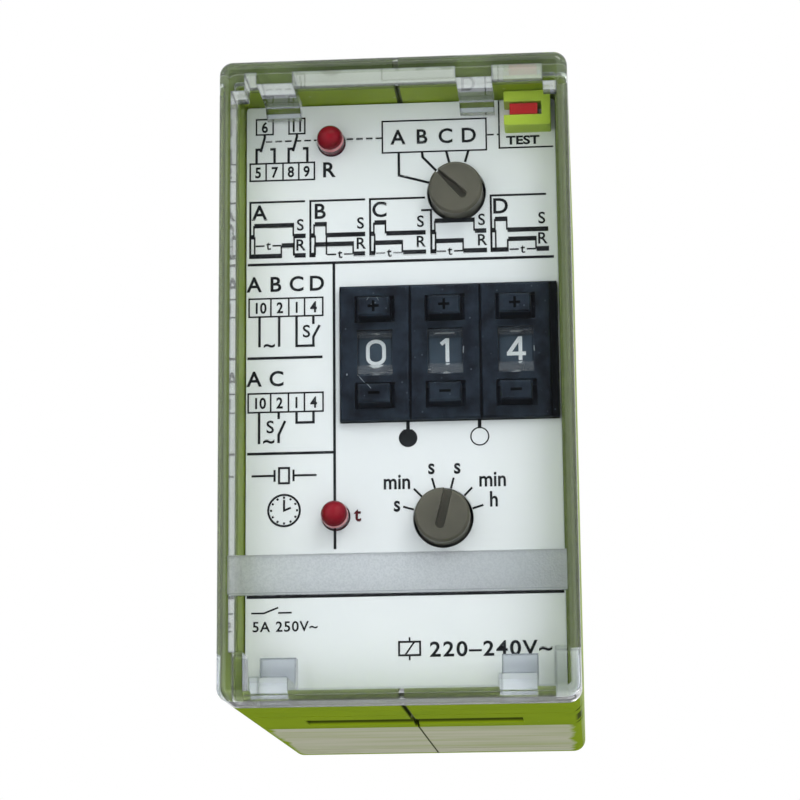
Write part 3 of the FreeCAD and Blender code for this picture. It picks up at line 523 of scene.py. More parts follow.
plugLook = dict(bankLook, colour=srgb(34, 34, 36), shade=srgb(42, 42, 44), worn=srgb(82, 82, 84),
                rough=(0.4, 0.58))
dress(moulded("plugBlack", plugLook), "plug_base")
darkLook = dict(bankLook, colour=srgb(30, 30, 32), shade=srgb(38, 38, 40))
dress(moulded("chipBlack", darkLook), "timer_chip", "counter_chip", "function_switch", "time_switch")
relayLook = dict(plateLook, colour=srgb(202, 196, 176), shade=srgb(188, 181, 160), worn=srgb(220, 216, 202))
dress(moulded("relayPlastic", relayLook), "relay_base", "relay_bobbin", "contact_carrier")
foilLook = dict(plateLook, colour=srgb(204, 160, 44), shade=srgb(190, 146, 36), worn=srgb(222, 188, 92))
dress(moulded("capacitorYellow", foilLook), "dropper_capacitor")
sleeveLook = dict(plateLook, colour=srgb(38, 62, 104), shade=srgb(32, 52, 90), worn=srgb(80, 100, 134))
dress(moulded("capacitorSleeve", sleeveLook), "smoothing_capacitor")

metalLooks = {
    "pinMetal": {"colour": srgb(206, 204, 196), "tarnish": srgb(150, 144, 130), "rough": (0.22, 0.42),
                 "nodes": ("plug_pins", "led_leads")},
    "springMetal": {"colour": srgb(190, 192, 194), "tarnish": srgb(140, 140, 138), "rough": (0.2, 0.36),
                    "nodes": ("test_spring", "wheel_tie_rods", *ofWheels("plus_spring", "minus_spring"))},
    "relaySteel": {"colour": srgb(176, 178, 180), "tarnish": srgb(120, 118, 112), "rough": (0.3, 0.5),
                   "nodes": ("relay_yoke", "relay_core", "relay_armature")},
    "contactMetal": {"colour": srgb(214, 190, 140), "tarnish": srgb(160, 128, 84), "rough": (0.24, 0.42),
                     "nodes": ("moving_contacts", "fixed_contacts")},
    "crystalCan": {"colour": srgb(214, 216, 218), "tarnish": srgb(176, 178, 178), "rough": (0.16, 0.3),
                   "nodes": ("quartz_crystal",)},
}
for name, look in metalLooks.items():
    dress(metal(name, look), *look["nodes"])

bandedBase = {"mottle": 500.0, "soft": 0.12, "relief": 0.02 * mm, "metallic": 0.0}
bandedLooks = {
    "copperWinding": {"ground": srgb(120, 54, 30), "shade": srgb(150, 74, 40), "ring": srgb(196, 110, 62),
                      "axis": "z", "pitch": 0.25 * mm, "ringEnd": 0.5, "rough": (0.25, 0.4), "metallic": 1.0,
                      "nodes": ("relay_winding",)},
    "resistorTan": {"ground": srgb(214, 190, 146), "shade": srgb(204, 176, 128), "ring": srgb(120, 60, 30),
                    "axis": "x", "pitch": 1.3 * mm, "ringEnd": 0.3, "rough": (0.3, 0.45),
                    "nodes": ("resistors",)},
    "diodeBlack": {"ground": srgb(24, 24, 26), "shade": srgb(30, 30, 32), "ring": srgb(190, 190, 186),
                   "axis": "x", "pitch": 4.0 * mm, "ringEnd": 0.25, "rough": (0.3, 0.45),
                   "nodes": ("diodes",)},
    "boardGreen": {"ground": srgb(52, 92, 56), "shade": srgb(60, 104, 62), "ring": srgb(92, 132, 84),
                   "axis": "z", "pitch": 2.54 * mm, "ringEnd": 0.4, "rough": (0.3, 0.5),
                   "nodes": ("front_pcb", "main_pcb", "base_pcb")},
}


def bandedFinish(name, look):
    # rings or turns of a second colour along one axis
    look = {**bandedBase, **look}
    finish, tree, surface, place = startFinish(name)
    turns = product(tree, axesOf(tree, place)[look["axis"]], 1.0 / look["pitch"])
    wave = sums(tree, "FRACT", turns, 0.0)
    end, soft = look["ringEnd"], look["soft"]
    ring = product(tree, spread(tree, wave, 0.0, soft), spread(tree, wave, end, end - soft))
    mottle = noise(tree, place, look["mottle"])
    ground = blend(tree, spread(tree, mottle, *spans["clouds"]), look["ground"], look["shade"])
    colour = blend(tree, ring, ground, look["ring"])
    rough = spread(tree, mottle, *spans["whole"], *look["rough"])
    join(tree, surface, colour, rough, relief(tree, sums(tree, "ADD", ring, mottle), look["relief"]))
    surface.inputs["Metallic"].default_value = look["metallic"]
    return finish


for name, look in bandedLooks.items():
    dress(bandedFinish(name, look), *look["nodes"])
print("inner finishes made")


# Flat shapes raised a little from a face: outlines in mm as (x, z), pushed out along -Y

capHeight = 0.729  # height of a capital of the built-in font at size 1
sharpestBend = 0.3  # limit of the mitre in a strip
weldReach = 1e-7  # corners this near become one
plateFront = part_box("face_plate")[0][1] / mm
inkDepth = (plateFront + 0.01, plateFront - 0.03)  # back and front of the ink in mm
printLook = {
    "thick": 0.3, "thin": 0.18, "lead": 0.28, "bar": 0.52, "bold": 0.045,
    "capital": 1.75, "number": 1.25, "narrow": 0.86, "switch": 1.45, "mains": 1.6,
}
lightBold = printLook["bold"] * 0.6  # for the small letters


def prism(mesh, outline, back, front):
    rings = [[mesh.verts.new((x * mm, y * mm, z * mm)) for x, z in outline] for y in (back, front)]
    mesh.faces.new(rings[0])
    mesh.faces.new(reversed(rings[1]))
    count = len(outline)
    for i in range(count):
        j = (i + 1) % count
        mesh.faces.new((rings[0][j], rings[0][i], rings[1][i], rings[1][j]))


def bar(mesh, x0, z0, x1, z1, depth=inkDepth):
    prism(mesh, [(x0, z0), (x1, z0), (x1, z1), (x0, z1)], *depth)


def strip(mesh, points, width, depth=inkDepth):
    # a line of even width with mitred bends
    spots = [Vector(p) for p in points]
    runs = [(b - a).normalized() for a, b in zip(spots, spots[1:])]
    sides = []
    for i in range(len(spots)):
        before, after = runs[max(i - 1, 0)], runs[min(i, len(runs) - 1)]
        way = (before + after).normalized()
        across = Vector((-way.y, way.x))
        sides.append(across * (width / 2 / max(way.dot(after), sharpestBend)))
    left = [tuple(p + s) for p, s in zip(spots, sides)]
    right = [tuple(p - s) for p, s in zip(spots, sides)]
    prism(mesh, right + left[::-1], *depth)


def boxFrame(mesh, x0, z0, x1, z1, width):
    half = width / 2
    for z in (z0, z1):
        bar(mesh, x0 - half, z - half, x1 + half, z + half)
    for x in (x0, x1):
        bar(mesh, x - half, z0 + half, x + half, z1 - half)


def disc(mesh, x, z, radius, depth=inkDepth, corners=28):
    turns = [2 * math.pi * i / corners for i in range(corners)]
    prism(mesh, [(x + radius * math.cos(t), z + radius * math.sin(t)) for t in turns], *depth)


def ringBand(mesh, x, z, radius, width, corners=28):
    inner, outer = radius - width / 2, radius + width / 2
    for i in range(corners):
        a, b = (2 * math.pi * k / corners for k in (i, i + 1))
        spots = [(x + r * math.cos(t), z + r * math.sin(t)) for r, t in
                 ((inner, a), (outer, a), (outer, b), (inner, b))]
        prism(mesh, spots, *inkDepth)


def letters(mesh, text, x, z, height, bold=printLook["bold"], squeeze=1.0, spacing=1.0):
    # a word as a mesh 1 mm thick, centred, capitals of the given height in mm, then laid on the plate
    curve = bpy.data.curves.new("letters", "FONT")
    curve.body, curve.align_x = text, "CENTER"
    curve.size = height * mm / capHeight
    curve.offset = bold * mm
    curve.space_character = spacing
    curve.extrude = mm / 2
    curve.resolution_u = 4
    holder = bpy.data.objects.new("letters", curve)
    bpy.context.scene.collection.objects.link(holder)
    shape = bpy.data.meshes.new_from_object(holder.evaluated_get(bpy.context.evaluated_depsgraph_get()))
    bpy.data.objects.remove(holder)
    bpy.data.curves.remove(curve)
    shape.transform(Matrix.Diagonal((squeeze, 1, 1, 1)) @ Matrix.Translation((0, -height * mm / 2, 0)))
    back, front = inkDepth
    upright = Matrix.Rotation(math.radians(90), 4, "X")
    toFace = Matrix.Translation((x * mm, (back + front) / 2 * mm, z * mm)) @ upright
    shape.transform(toFace @ Matrix.Diagonal((1, 1, abs(front - back), 1)))
    mesh.from_mesh(shape)
    bpy.data.meshes.remove(shape)


def pieceFrom(mesh, name, finish, body):
    bmesh.ops.remove_doubles(mesh, verts=mesh.verts, dist=weldReach)
    bmesh.ops.recalc_face_normals(mesh, faces=mesh.faces)
    data = bpy.data.meshes.new(name)
    mesh.to_mesh(data)
    mesh.free()
    data.materials.append(finish)
    piece = bpy.data.objects.new(name, data)
    bpy.context.scene.collection.objects.link(piece)
    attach(piece, body)


def centreOf(name):
    low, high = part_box(name)
    return (low[0] + high[0]) / 2 / mm, (low[2] + high[2]) / 2 / mm


# Print on the face plate: places and heights in mm, a share is that of a line's width

inkLook = dict(bankLook, colour=srgb(20, 22, 26), shade=srgb(34, 36, 40), worn=srgb(60, 62, 64), dust=0.3,
               dustScale=800.0, dustSize=0.11, rough=(0.5, 0.62), relief=0.002 * mm)
printBlack = moulded("printBlack", inkLook)
redInkLook = dict(inkLook, colour=srgb(92, 26, 32), shade=srgb(76, 20, 28), worn=srgb(130, 66, 66))
printRed = moulded("printRed", redInkLook)


def terminalRow(ink, left, right, low, high, dividers, numbers):
    # a row of numbered terminals
    thin = printLook["thin"]
    boxFrame(ink, left, low, right, high, thin)
    edges = [left, *dividers, right]
    for x in dividers:
        bar(ink, x - thin / 2, low + thin / 2, x + thin / 2, high - thin / 2)
    for text, a, b in zip(numbers, edges, edges[1:]):
        letters(ink, text, (a + b) / 2, (low + high) / 2, printLook["number"], squeeze=printLook["narrow"])


contactPrint = {
    "commons": (("6", -16.35, -14.45), ("11", -12.64, -10.84)), "commonRow": (30.25, 32.05),
    "blade": ((0.0, 30.18), (0.0, 29.9), (-0.45, 28.2)),
    "row": (-17.05, -9.76, 24.8, 26.82), "dividers": (-15.24, -13.32, -11.53), "numbers": "5789",
    "stops": ((-16.33, 0.5), (-14.28, -0.5), (-12.68, 0.5), (-10.56, -0.5)), "stopRise": (26.89, 28.5),
    "dashed": ((-15.3, -9.5), (-6.1, -2.1), (9.8, 11.1)), "dashRow": (29.31, 29.49), "dash": 0.75,
    "dashPitch": 1.1,
}


def contactDiagram(ink):
    # two change-over contacts worked together, above their terminals
    look, lead = contactPrint, printLook["lead"]
    for text, left, right in look["commons"]:
        terminalRow(ink, left, right, *look["commonRow"], (), (text,))
        middle = (left + right) / 2
        strip(ink, [(middle + x, z) for x, z in look["blade"]], lead)
    terminalRow(ink, *look["row"], look["dividers"], look["numbers"])
    low, high = look["stopRise"]
    for x, hook in look["stops"]:
        strip(ink, [(x, low), (x, high), (x + hook, high)], lead)
    low, high = look["dashRow"]
    for x, end in look["dashed"]:
        while x < end:
            bar(ink, x, low, min(x + look["dash"], end), high)
            x += look["dashPitch"]


functionDial = {
    "box": (-2.04, 27.65, 9.69, 31.36), "letters": ((-0.27, "A"), (2.39, "B"), (5.1, "C"), (7.7, "D")),
    "leaders": (((-0.2, 27.6), (-0.2, 24.95), (3.24, 23.98)), ((2.44, 27.6), (2.5, 27.0), (4.02, 25.37)),
                ((5.17, 27.6), (5.48, 26.3)), ((7.65, 27.6), (7.26, 26.28))),
}


def functionScale(ink):
    x0, z0, x1, z1 = functionDial["box"]
    boxFrame(ink, x0, z0, x1, z1, printLook["thin"])
    for x, text in functionDial["letters"]:
        letters(ink, text, x, (z0 + z1) / 2, printLook["capital"])
    for leader in functionDial["leaders"]:
        strip(ink, leader, printLook["lead"])


testPrint = {"corner": ((11.15, 33.4), (11.15, 27.8), (17.2, 27.8)), "word": ("TEST", 13.8, 28.7, 1.0),
             "wide": 1.25}


def testField(ink):
    strip(ink, testPrint["corner"], printLook["thin"])
    letters(ink, *testPrint["word"], squeeze=testPrint["wide"])


ruledPrint = {
    "lines": (((-17.3, 15.0), (17.0, 15.0)), ((-7.6, 14.9), (-7.6, -17.4)), ((-17.3, 4.22), (-8.9, 4.22)),
              ((-17.3, -6.6), (-7.75, -6.6))),
    "foot": ((-17.3, -22.42), (17.3, -22.42)), "footShare": 1.8,
}


def ruledLines(ink):
    for line in ruledPrint["lines"]:
        strip(ink, line, printLook["thick"])
    strip(ink, ruledPrint["foot"], printLook["thick"] * ruledPrint["footShare"])


startTerminals = ("10", "2", "1", "4")
startCircuits = (
    {"marks": (("A", -16.56), ("B", -14.18), ("C", -11.8), ("D", -9.54)), "markRow": 12.75,
     "row": (-17.13, -8.86, 8.97, 11.05), "dividers": (-14.68, -12.67, -10.9),
     "leads": (((-15.95, 8.9), (-15.95, 5.5)), ((-13.75, 8.9), (-13.75, 5.5)),
               ((-11.8, 8.9), (-11.8, 5.54), (-9.92, 5.54), (-9.92, 6.55), (-9.22, 7.87)),
               ((-9.92, 8.9), (-9.92, 8.0))),
     "switch": (-10.7, 7.25), "mains": (-14.85, 5.85)},
    {"marks": (("A", -16.54), ("C", -14.05)), "markRow": 1.92,
     "row": (-17.2, -8.86, -1.93, 0.2), "dividers": (-14.69, -12.71, -10.93),
     "leads": (((-15.98, -2.0), (-15.98, -5.5)), ((-13.8, -2.0), (-13.8, -2.72)),
               ((-13.8, -5.43), (-13.8, -4.5), (-13.08, -2.95)),
               ((-11.81, -2.0), (-11.81, -3.17), (-9.93, -3.17), (-9.93, -2.0))),
     "switch": (-14.75, -3.55), "mains": (-14.9, -5.05)},
)


def startWiring(ink):
    # terminals of the supply and the start contact, for two kinds of start
    for circuit in startCircuits:
        for text, x in circuit["marks"]:
            letters(ink, text, x, circuit["markRow"], printLook["capital"])
        terminalRow(ink, *circuit["row"], circuit["dividers"], startTerminals)
        for lead in circuit["leads"]:
            strip(ink, lead, printLook["lead"])
        letters(ink, "S", *circuit["switch"], printLook["switch"], lightBold)
        letters(ink, "~", *circuit["mains"], printLook["mains"])


clockPrint = {
    "crystal": (-13.2, -9.1), "crystalHalf": (0.55, 0.85), "electrode": (1.05, 0.65), "wire": 3.6,
    "clock": (-13.2, -13.0), "radius": 1.75, "hands": ((0.75, 0.3), (0.0, 0.0), (0.0, 1.2)), "hours": 12,
    "ticks": (1.32, 1.55), "line": 1.3,
}


def clockSigns(ink):
    # a crystal between its plates, and a clock face
    look, thin = clockPrint, printLook["thin"] * clockPrint["line"]
    x, z = look["crystal"]
    wide, high = look["crystalHalf"]
    boxFrame(ink, x - wide, z - high, x + wide, z + high, thin)
    apart, high = look["electrode"]
    for side in (-1, 1):
        bar(ink, x + side * apart - thin / 2, z - high, x + side * apart + thin / 2, z + high)
        ends = sorted((x + side * (apart + thin / 2), x + side * look["wire"]))
        bar(ink, ends[0], z - thin / 2, ends[1], z + thin / 2)
    x, z = look["clock"]
    ringBand(ink, x, z, look["radius"], thin)
    strip(ink, [(x + a, z + b) for a, b in look["hands"]], thin)
    for hour in range(look["hours"]):
        turn = math.radians(360 / look["hours"] * hour)
        strip(ink, [(x + r * math.sin(turn), z + r * math.cos(turn)) for r in look["ticks"]], thin)


timeDial = {
    "ticks": (163, 134, 105, 75, 46, 17), "reach": (3.35, 4.6), "tickShare": 0.75, "unitRise": 0.3,
    "units": (("s", -0.77, -12.76), ("min", -0.75, -10.29), ("s", 3.05, -8.69), ("s", 5.89, -8.7),
              ("min", 9.75, -10.21), ("h", 9.85, -12.45)),
}


def timeScale(ink):
    x, z = centreOf("time_selector")
    for angle in timeDial["ticks"]:
        way = (math.cos(math.radians(angle)), math.sin(math.radians(angle)))
        strip(ink, [(x + way[0] * r, z + way[1] * r) for r in timeDial["reach"]],
              printLook["thick"] * timeDial["tickShare"])
    for text, unitX, unitZ in timeDial["units"]:
        letters(ink, text, unitX, unitZ + timeDial["unitRise"], printLook["capital"],
                squeeze=printLook["narrow"])


dotPrint = {
    "dots": ((0.53, -5.2, True), (8.42, -5.2, False)),  # x, z, is it filled
    "leadShare": 2.2, "leadTop": 0.3, "leadEnd": 1.0, "filled": 1.03, "open": 0.98, "openShare": 0.8,
}


def digitLeads(ink):
    # the lines from the bank to the two dots for the decimal place
    look, thin = dotPrint, printLook["thin"]
    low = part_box("wheel_body_1")[0][2] / mm
    for x, z, filled in look["dots"]:
        strip(ink, [(x, low + look["leadTop"]), (x, z + look["leadEnd"])], thin * look["leadShare"])
        if filled:
            disc(ink, x, z, look["filled"])
        else:
            ringBand(ink, x, z, look["open"], thin * look["openShare"])


ratingPrint = {
    "contact": (((-16.8, -24.3), (-15.4, -24.3), (-13.85, -23.7)), ((-13.85, -24.28), (-12.35, -24.28))),
    "load": ("5A 250V~", -13.1, -25.75, 1.15), "loadBold": 0.025, "loadWide": (1.0, 1.12),
    "coil": (-0.68, -29.15, 1.6, -27.7), "coilShare": 1.2, "coilSlash": ((0.0, -29.1), (0.95, -27.75)),
    "coilLead": 0.46, "coilLeads": ((-27.63, -27.2), (-29.7, -29.22)),
    "supply": ("220\u2013240V~", 9.25, -28.5, 1.65), "supplyWide": (1.1, 1.16),
}


def ratings(ink):
    # the output contact with its load, the coil with its supply; wide is the width and space of letters
    look, thin = ratingPrint, printLook["thin"]
    for line in look["contact"]:
        strip(ink, line, thin)
    letters(ink, *look["load"], look["loadBold"], *look["loadWide"])
    boxFrame(ink, *look["coil"], thin * look["coilShare"])
    strip(ink, look["coilSlash"], thin)
    for low, high in look["coilLeads"]:
        bar(ink, look["coilLead"] - thin / 2, low, look["coilLead"] + thin / 2, high)
    letters(ink, *look["supply"], printLook["bold"], *look["supplyWide"])


# Steps of the start line and the relay line, in mm from the left of each cell: (from, to, is it high)
timingCells = (
    {"x": -17.02, "mark": "A", "start": ((0, 0.5, 0), (0.45, 4.95, 1), (4.95, 6.26, 0)),
     "relay": ((0, 3.6, 0), (3.55, 5.0, 1), (5.0, 6.26, 0)), "time": (0.62, 3.5, 1), "drops": (0.5, 4.95)},
    {"x": -10.23, "mark": "B", "start": ((0, 0.5, 0), (0.5, 1.86, 1), (1.86, 6.18, 0)),
     "relay": ((0, 0.57, 0), (0.52, 4.9, 1), (4.85, 6.15, 0)), "time": (1.88, 4.8, 0), "drops": (0.53, 1.81)},
    {"x": -3.49, "mark": "C", "start": ((0, 0.5, 0), (0.49, 1.81, 1), (1.81, 6.22, 0)),
     "relay": ((0, 0.55, 0), (0.49, 3.68, 1), (3.68, 6.25, 0)), "time": (0.65, 3.6, 0), "drops": (0.5,)},
    {"x": 3.36, "mark": "", "start": ((0, 0.5, 0), (0.41, 4.89, 1), (4.89, 6.17, 0)),
     "relay": ((0, 0.55, 0), (0.46, 3.64, 1), (3.56, 6.22, 0)), "time": (0.6, 3.55, 0), "drops": (0.48,)},
    {"x": 10.08, "mark": "D", "start": ((0, 0.5, 0), (0.43, 1.83, 1), (1.81, 6.36, 0)),
     "relay": ((0, 1.9, 0), (1.88, 5.04, 1), (4.99, 6.4, 0)), "time": (2.0, 4.95, 0), "drops": (0.48,)},
)
timingRows = {
    "top": 22.27, "joined": 20.8, "foot": 15.72, "start": (18.23, 19.52), "relay": (15.97, 17.17),
    "width": 6.2, "joinedBack": 1.1, "ruleShare": 1.3, "markX": 1.05, "markZ": 21.1, "mark": 1.8,
    "gap": 0.45, "timeRise": 0.1, "time": 1.05, "nameX": 5.65, "nameRise": 0.05, "name": 1.35,
}


def timingCell(ink, cell):
    x, rows, thin, thick = cell["x"], timingRows, printLook["thin"], printLook["bar"]
    top, end = rows["top"], x + rows["width"]
    if not cell["mark"]:  # a cell without a letter joins the one before it
        top, end = rows["joined"], x - rows["joinedBack"]
    strip(ink, [(x, rows["foot"]), (x, top), (end, top)], thin * rows["ruleShare"])
    if cell["mark"]:
        letters(ink, cell["mark"], x + rows["markX"], rows["markZ"], rows["mark"])
    for line in ("start", "relay"):
        for a, b, isHigh in cell[line]:
            z = rows[line][isHigh]
            bar(ink, x + a, z - thick / 2, x + b, z + thick / 2)
        for run in cell[line][:-1]:
            step = x + run[1]
            bar(ink, step - thin, rows[line][0], step, rows[line][1])
    for drop in cell["drops"]:
        bar(ink, x + drop - thin / 2, rows["relay"][0], x + drop + thin / 2, rows["start"][0])
    a, b, level = cell["time"]
    z, middle = rows["relay"][level], (a + b) / 2
    for p, q in ((a, middle - rows["gap"]), (middle + rows["gap"], b)):
        bar(ink, x + p, z - thin / 2, x + q, z + thin / 2)
    letters(ink, "t", x + middle, z + rows["timeRise"], rows["time"], lightBold)
    for text, line in (("S", "start"), ("R", "relay")):
        letters(ink, text, x + rows["nameX"], rows[line][1] + rows["nameRise"], rows["name"], lightBold)


lampLetters = {"relay": ("R", -8.17, 25.94, 1.8), "timing": ("t", -5.1, -13.5, 1.6)}

ink = bmesh.new()
for draw in (contactDiagram, functionScale, testField, ruledLines, startWiring, clockSigns, timeScale,
             digitLeads, ratings):
    draw(ink)
for cell in timingCells:
    timingCell(ink, cell)
letters(ink, *lampLetters["relay"])
pieceFrom(ink, "plate_print", printBlack, "housing")
redInk = bmesh.new()
letters(redInk, *lampLetters["timing"])
pieceFrom(redInk, "lamp_letter", printRed, "housing")
print("plate printed")


# Digits on the flats of the drums, signs on the keys

digitLook = dict(plateLook, colour=srgb(236, 241, 243), shade=srgb(226, 232, 236), worn=srgb(196, 202, 206))
digitWhite = moulded("digitWhite", digitLook)
signLook = dict(bankLook, colour=srgb(3, 4, 6), shade=srgb(6, 8, 11), worn=srgb(10, 12, 16), dust=0.1,
                gloss=0.0)
signBlack = moulded("signBlack", signLook)
drumMarks = {
    "shown": (0, 1, 4), "flats": 10, "radius": 5.9, "axis": (-52.8, 4.35), "stroke": 0.42, "sunk": 0.02,
    "proud": 0.03, "layer": 0.006, "rise": 0.34, "tall": 0.95,
}
keyMarks = {"plus": 4.9, "minus": -4.9, "half": 0.62, "thick": 0.14, "sunk": 0.05, "proud": 0.06}


def curveOf(x, z, wide, high, start, end, count=14):
    turns = [math.radians(start + (end - start) * i / count) for i in range(count + 1)]
    return [(x + wide * math.cos(t), z + high * math.sin(t)) for t in turns]


def digitStrokes(digit):
    # each figure as strokes in mm about its centre, 2.2 wide and 3.1 high over the strokes
    bowl = curveOf(0, -0.55, 0.9, 0.8, 0, 360)
    hook = [(-0.9, -0.5), *curveOf(0.35, -0.2, 1.24, 1.55, 165, 85, 6)]
    strokes = {
        0: [curveOf(0, 0.55, 0.9, 0.8, 0, 180) + curveOf(0, -0.55, 0.9, 0.8, 180, 360) + [(0.9, 0.55)]],
        1: [[(0.15, 1.5), (0.15, -1.35)], [(-0.55, 0.8), (0.1, 1.32)]],
        2: [curveOf(0, 0.5, 0.88, 0.85, 165, -30) + [(-0.85, -1.35), (0.95, -1.35)]],
        3: [curveOf(-0.05, 0.66, 0.82, 0.69, 150, -90), curveOf(-0.05, -0.65, 0.92, 0.7, 90, -150)],
        4: [[(0.45, -1.35), (0.45, 1.5)], [(0.4, 1.38), (-0.85, -0.5)], [(-1.05, -0.55), (1.05, -0.55)]],
        5: [[(0.8, 1.35), (-0.65, 1.35), (-0.75, 0.1)] + curveOf(0, -0.5, 0.9, 0.85, 125, -145)],
        6: [bowl, hook],
        7: [[(-0.9, 1.35), (0.9, 1.35), (-0.25, -1.35)]],
        8: [curveOf(0, 0.68, 0.72, 0.67, 0, 360), curveOf(0, -0.62, 0.9, 0.73, 0, 360)],
        9: [[(-x, -z) for x, z in line] for line in (bowl, hook)],
    }
    return strokes[digit]


def drumDigits(number, shown):
    # one digit on each flat, the strokes of a digit in layers, the shown one at the front
    look, flats = drumMarks, drumMarks["flats"]
    x = centreOf(f"wheel_window_{number}")[0]
    axisY, axisZ = look["axis"]
    flat = look["radius"] * math.cos(math.pi / flats)  # from the axis to a flat
    mesh = bmesh.new()
    for step in range(flats):
        sheet = bmesh.new()
        for layer, line in enumerate(digitStrokes((shown + step) % flats)):
            depth = (-flat + look["sunk"], -flat - look["proud"] - layer * look["layer"])
            points = [(x + a, b * look["tall"] + look["rise"]) for a, b in line]
            strip(sheet, points, look["stroke"], depth)
        turn = Matrix.Rotation(-step * 2 * math.pi / flats, 4, "X")
        toDrum = Matrix.Translation((0, axisY * mm, axisZ * mm)) @ turn
        bmesh.ops.transform(sheet, matrix=toDrum, verts=sheet.verts)
        flatDigit = bpy.data.meshes.new("flatDigit")
        sheet.to_mesh(flatDigit)
        sheet.free()
        mesh.from_mesh(flatDigit)
        bpy.data.meshes.remove(flatDigit)
    pieceFrom(mesh, f"drum_digits_{number}", digitWhite, f"drum_{number}")


def keySign(number, kind):
    x, z = centreOf(f"wheel_window_{number}")
    z += keyMarks[kind]
    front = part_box(f"{kind}_key_{number}")[0][1] / mm
    depth = (front + keyMarks["sunk"], front - keyMarks["proud"])
    mesh = bmesh.new()
    half, thick = keyMarks["half"], keyMarks["thick"]
    bar(mesh, x - half, z - thick, x + half, z + thick, depth)
    if kind == "plus":
        for side in (-1, 1):
            ends = sorted((z + side * thick, z + side * half))
            bar(mesh, x - thick, ends[0], x + thick, ends[1], depth)
    pieceFrom(mesh, f"{kind}_sign_{number}", signBlack, f"{kind}_{number}")


for number, shown in zip(wheelNumbers, drumMarks["shown"]):
    drumDigits(number, shown)
    for kind in ("plus", "minus"):
        keySign(number, kind)
print("digits and signs placed")


# Springs behind the keys: each copied as a piece of the housing in place of the spring

springKeys = {"test_spring": "test_press"}
for kind in ("plus", "minus"):
    springKeys.update({f"{kind}_spring_{n}": f"{kind}_press_{n}" for n in wheelNumbers})
for spring, joint in springKeys.items():
    leaf = bpy.data.objects.new(f"{spring}_leaf", parts[spring].data.copy())
    bpy.context.scene.collection.objects.link(leaf)
    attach(leaf, "housing")
    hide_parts(spring)
    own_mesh(leaf)
print("springs placed")


# Reflector cups inside the lamps

cupLook = {
    "radius": 0.5, "depth": (2.9, 1.9), "corners": 20, "colour": srgb(190, 180, 176),
    "tarnish": srgb(140, 120, 116), "rough": (0.25, 0.4), "patch": 500.0, "drawn": (2000.0, 2000.0, 2000.0),
    "relief": 0.003 * mm,
}
cupMetal = metal("cupMetal", cupLook)
for lamp in ("relay", "timing"):
    x, z = centreOf(f"led_{lamp}")
    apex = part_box(f"led_{lamp}")[0][1] / mm
    cup = bmesh.new()
    disc(cup, x, z, cupLook["radius"], [apex + depth for depth in cupLook["depth"]], cupLook["corners"])
    pieceFrom(cup, f"lamp_cup_{lamp}", cupMetal, "housing")
print("lamp cups placed")


# Floor, air and camera of the studio

studio = {
    "floorHeight": -0.15, "floorSide": 6.0, "floorCloud": 3.0, "floorRough": 0.6,
    "pale": (srgb(244, 244, 244), srgb(238, 239, 240)), "bounce": (0.25, 0.4),
    "nearFloor": (0.5, 0.5, 0.51, 1.0), "farFloor": (0.08, 0.08, 0.08, 1.0),
    "inFront": (-0.16, -0.4), "frontFloor": (0.95, 0.95, 0.95, 1.0), "white": (1.0, 1.0, 1.0, 1.0),
    "left": (1.42, 1.46, 1.5, 1.0), "right": (1.18, 1.21, 1.25, 1.0), "leftToRight": (-0.7, 0.7),
    "behind": (0.8, 0.82, 0.83, 1.0), "frontToBehind": (-0.05, 0.6),
    "window": (5.6, 5.6, 5.5, 1.0), "windowWay": (0.42, -0.55, 0.72), "windowCone": (0.955, 0.966),
    "dark": (0.06, 0.065, 0.07, 1.0), "mirrored": (-0.07, -0.97, 0.21), "darkCone": (0.955, 0.985),
}


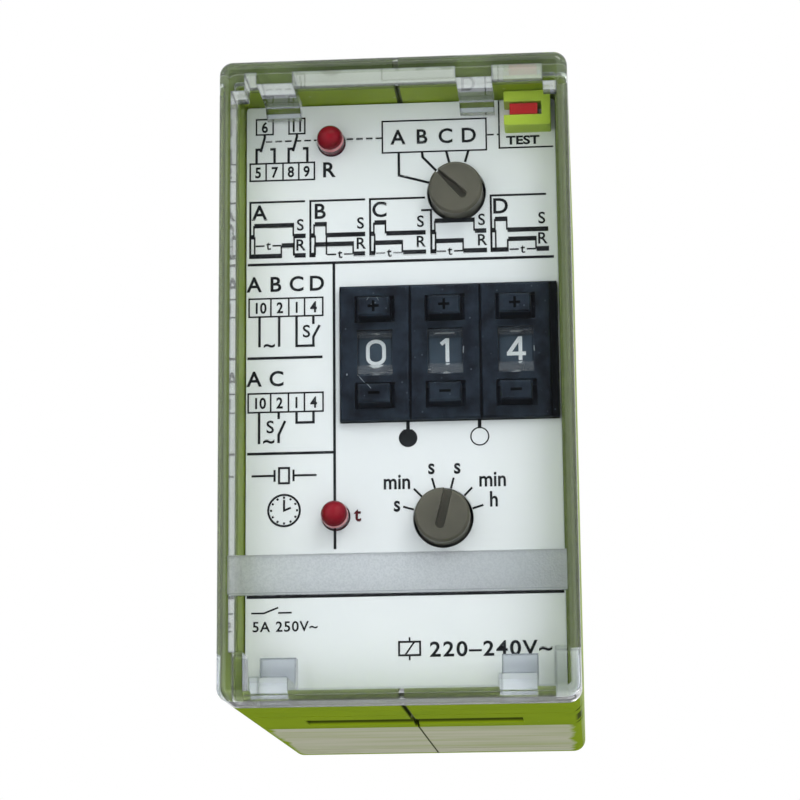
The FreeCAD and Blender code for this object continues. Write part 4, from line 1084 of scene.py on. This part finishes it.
def makeFloor():
    # pale to the camera; as a source of light bright in front, grey near the part and dark far off
    side = studio["floorSide"] / 2
    data = bpy.data.meshes.new("floor")
    corners = [(-side, -side, 0), (side, -side, 0), (side, side, 0), (-side, side, 0)]
    data.from_pydata(corners, [], [(0, 1, 2, 3)])
    floor = bpy.data.objects.new("floor", data)
    floor.location.z = studio["floorHeight"]
    bpy.context.scene.collection.objects.link(floor)
    finish, tree, surface, place = startFinish("paleFloor")
    pale = blend(tree, noise(tree, place, studio["floorCloud"]), *studio["pale"])
    reach = addNode(tree, "ShaderNodeVectorMath", {0: place}, operation="LENGTH").outputs["Value"]
    bounce = blend(tree, spread(tree, reach, *studio["bounce"]), studio["nearFloor"], studio["farFloor"])
    ahead = spread(tree, axesOf(tree, place)["y"], *studio["inFront"])
    bounce = blend(tree, ahead, bounce, studio["frontFloor"])
    seen = addNode(tree, "ShaderNodeLightPath").outputs["Is Camera Ray"]
    tree.links.new(blend(tree, seen, bounce, pale), surface.inputs["Base Color"])
    surface.inputs["Roughness"].default_value = studio["floorRough"]
    data.materials.append(finish)


def makeAir():
    # a light tent: brighter on the left, dim behind, dark where the flat front mirrors it to the camera,
    # and one bright window for the highlights
    air = bpy.data.worlds.new("studioAir")
    air.use_nodes = True
    air.cycles.sampling_method = "NONE"
    bpy.context.scene.world = air
    tree = air.node_tree
    way = addNode(tree, "ShaderNodeTexCoord").outputs["Generated"]
    at = axesOf(tree, way)
    colour = blend(tree, spread(tree, at["x"], *studio["leftToRight"]), studio["left"], studio["right"])
    colour = blend(tree, spread(tree, at["y"], *studio["frontToBehind"]), colour, studio["behind"])
    for middle, cone, tone in (("mirrored", "darkCone", "dark"), ("windowWay", "windowCone", "window")):
        facing = dotOf(tree, way, Vector(studio[middle]).normalized())
        colour = blend(tree, spread(tree, facing, *studio[cone]), colour, studio[tone])
    seen = addNode(tree, "ShaderNodeLightPath").outputs["Is Camera Ray"]
    colour = blend(tree, seen, colour, studio["white"])
    tree.links.new(colour, tree.nodes["Background"].inputs["Color"])


cameraSet = {
    "place": (0.019971, -0.338723, -0.061982), "pitch": 0.2152, "yaw": -0.0727, "roll": -0.0096,
    "lens": 116.58, "sensor": 36.0, "nearest": 0.01,
}


def makeCamera():
    data = bpy.data.cameras.new("camera")
    data.lens, data.sensor_width = cameraSet["lens"], cameraSet["sensor"]
    data.clip_start = cameraSet["nearest"]
    camera = bpy.data.objects.new("camera", data)
    turn = Matrix.Rotation(-cameraSet["yaw"], 4, "Z")
    tilt = Matrix.Rotation(math.pi / 2 + cameraSet["pitch"], 4, "X")
    roll = Matrix.Rotation(cameraSet["roll"], 4, "Z")
    camera.matrix_world = Matrix.Translation(cameraSet["place"]) @ (turn @ tilt) @ roll
    bpy.context.scene.collection.objects.link(camera)
    bpy.context.scene.camera = camera


makeFloor()
makeAir()
makeCamera()
bpy.context.scene.view_settings.view_transform = "Standard"
bpy.context.scene.cycles.blur_glossy = 0.0
print("studio set")
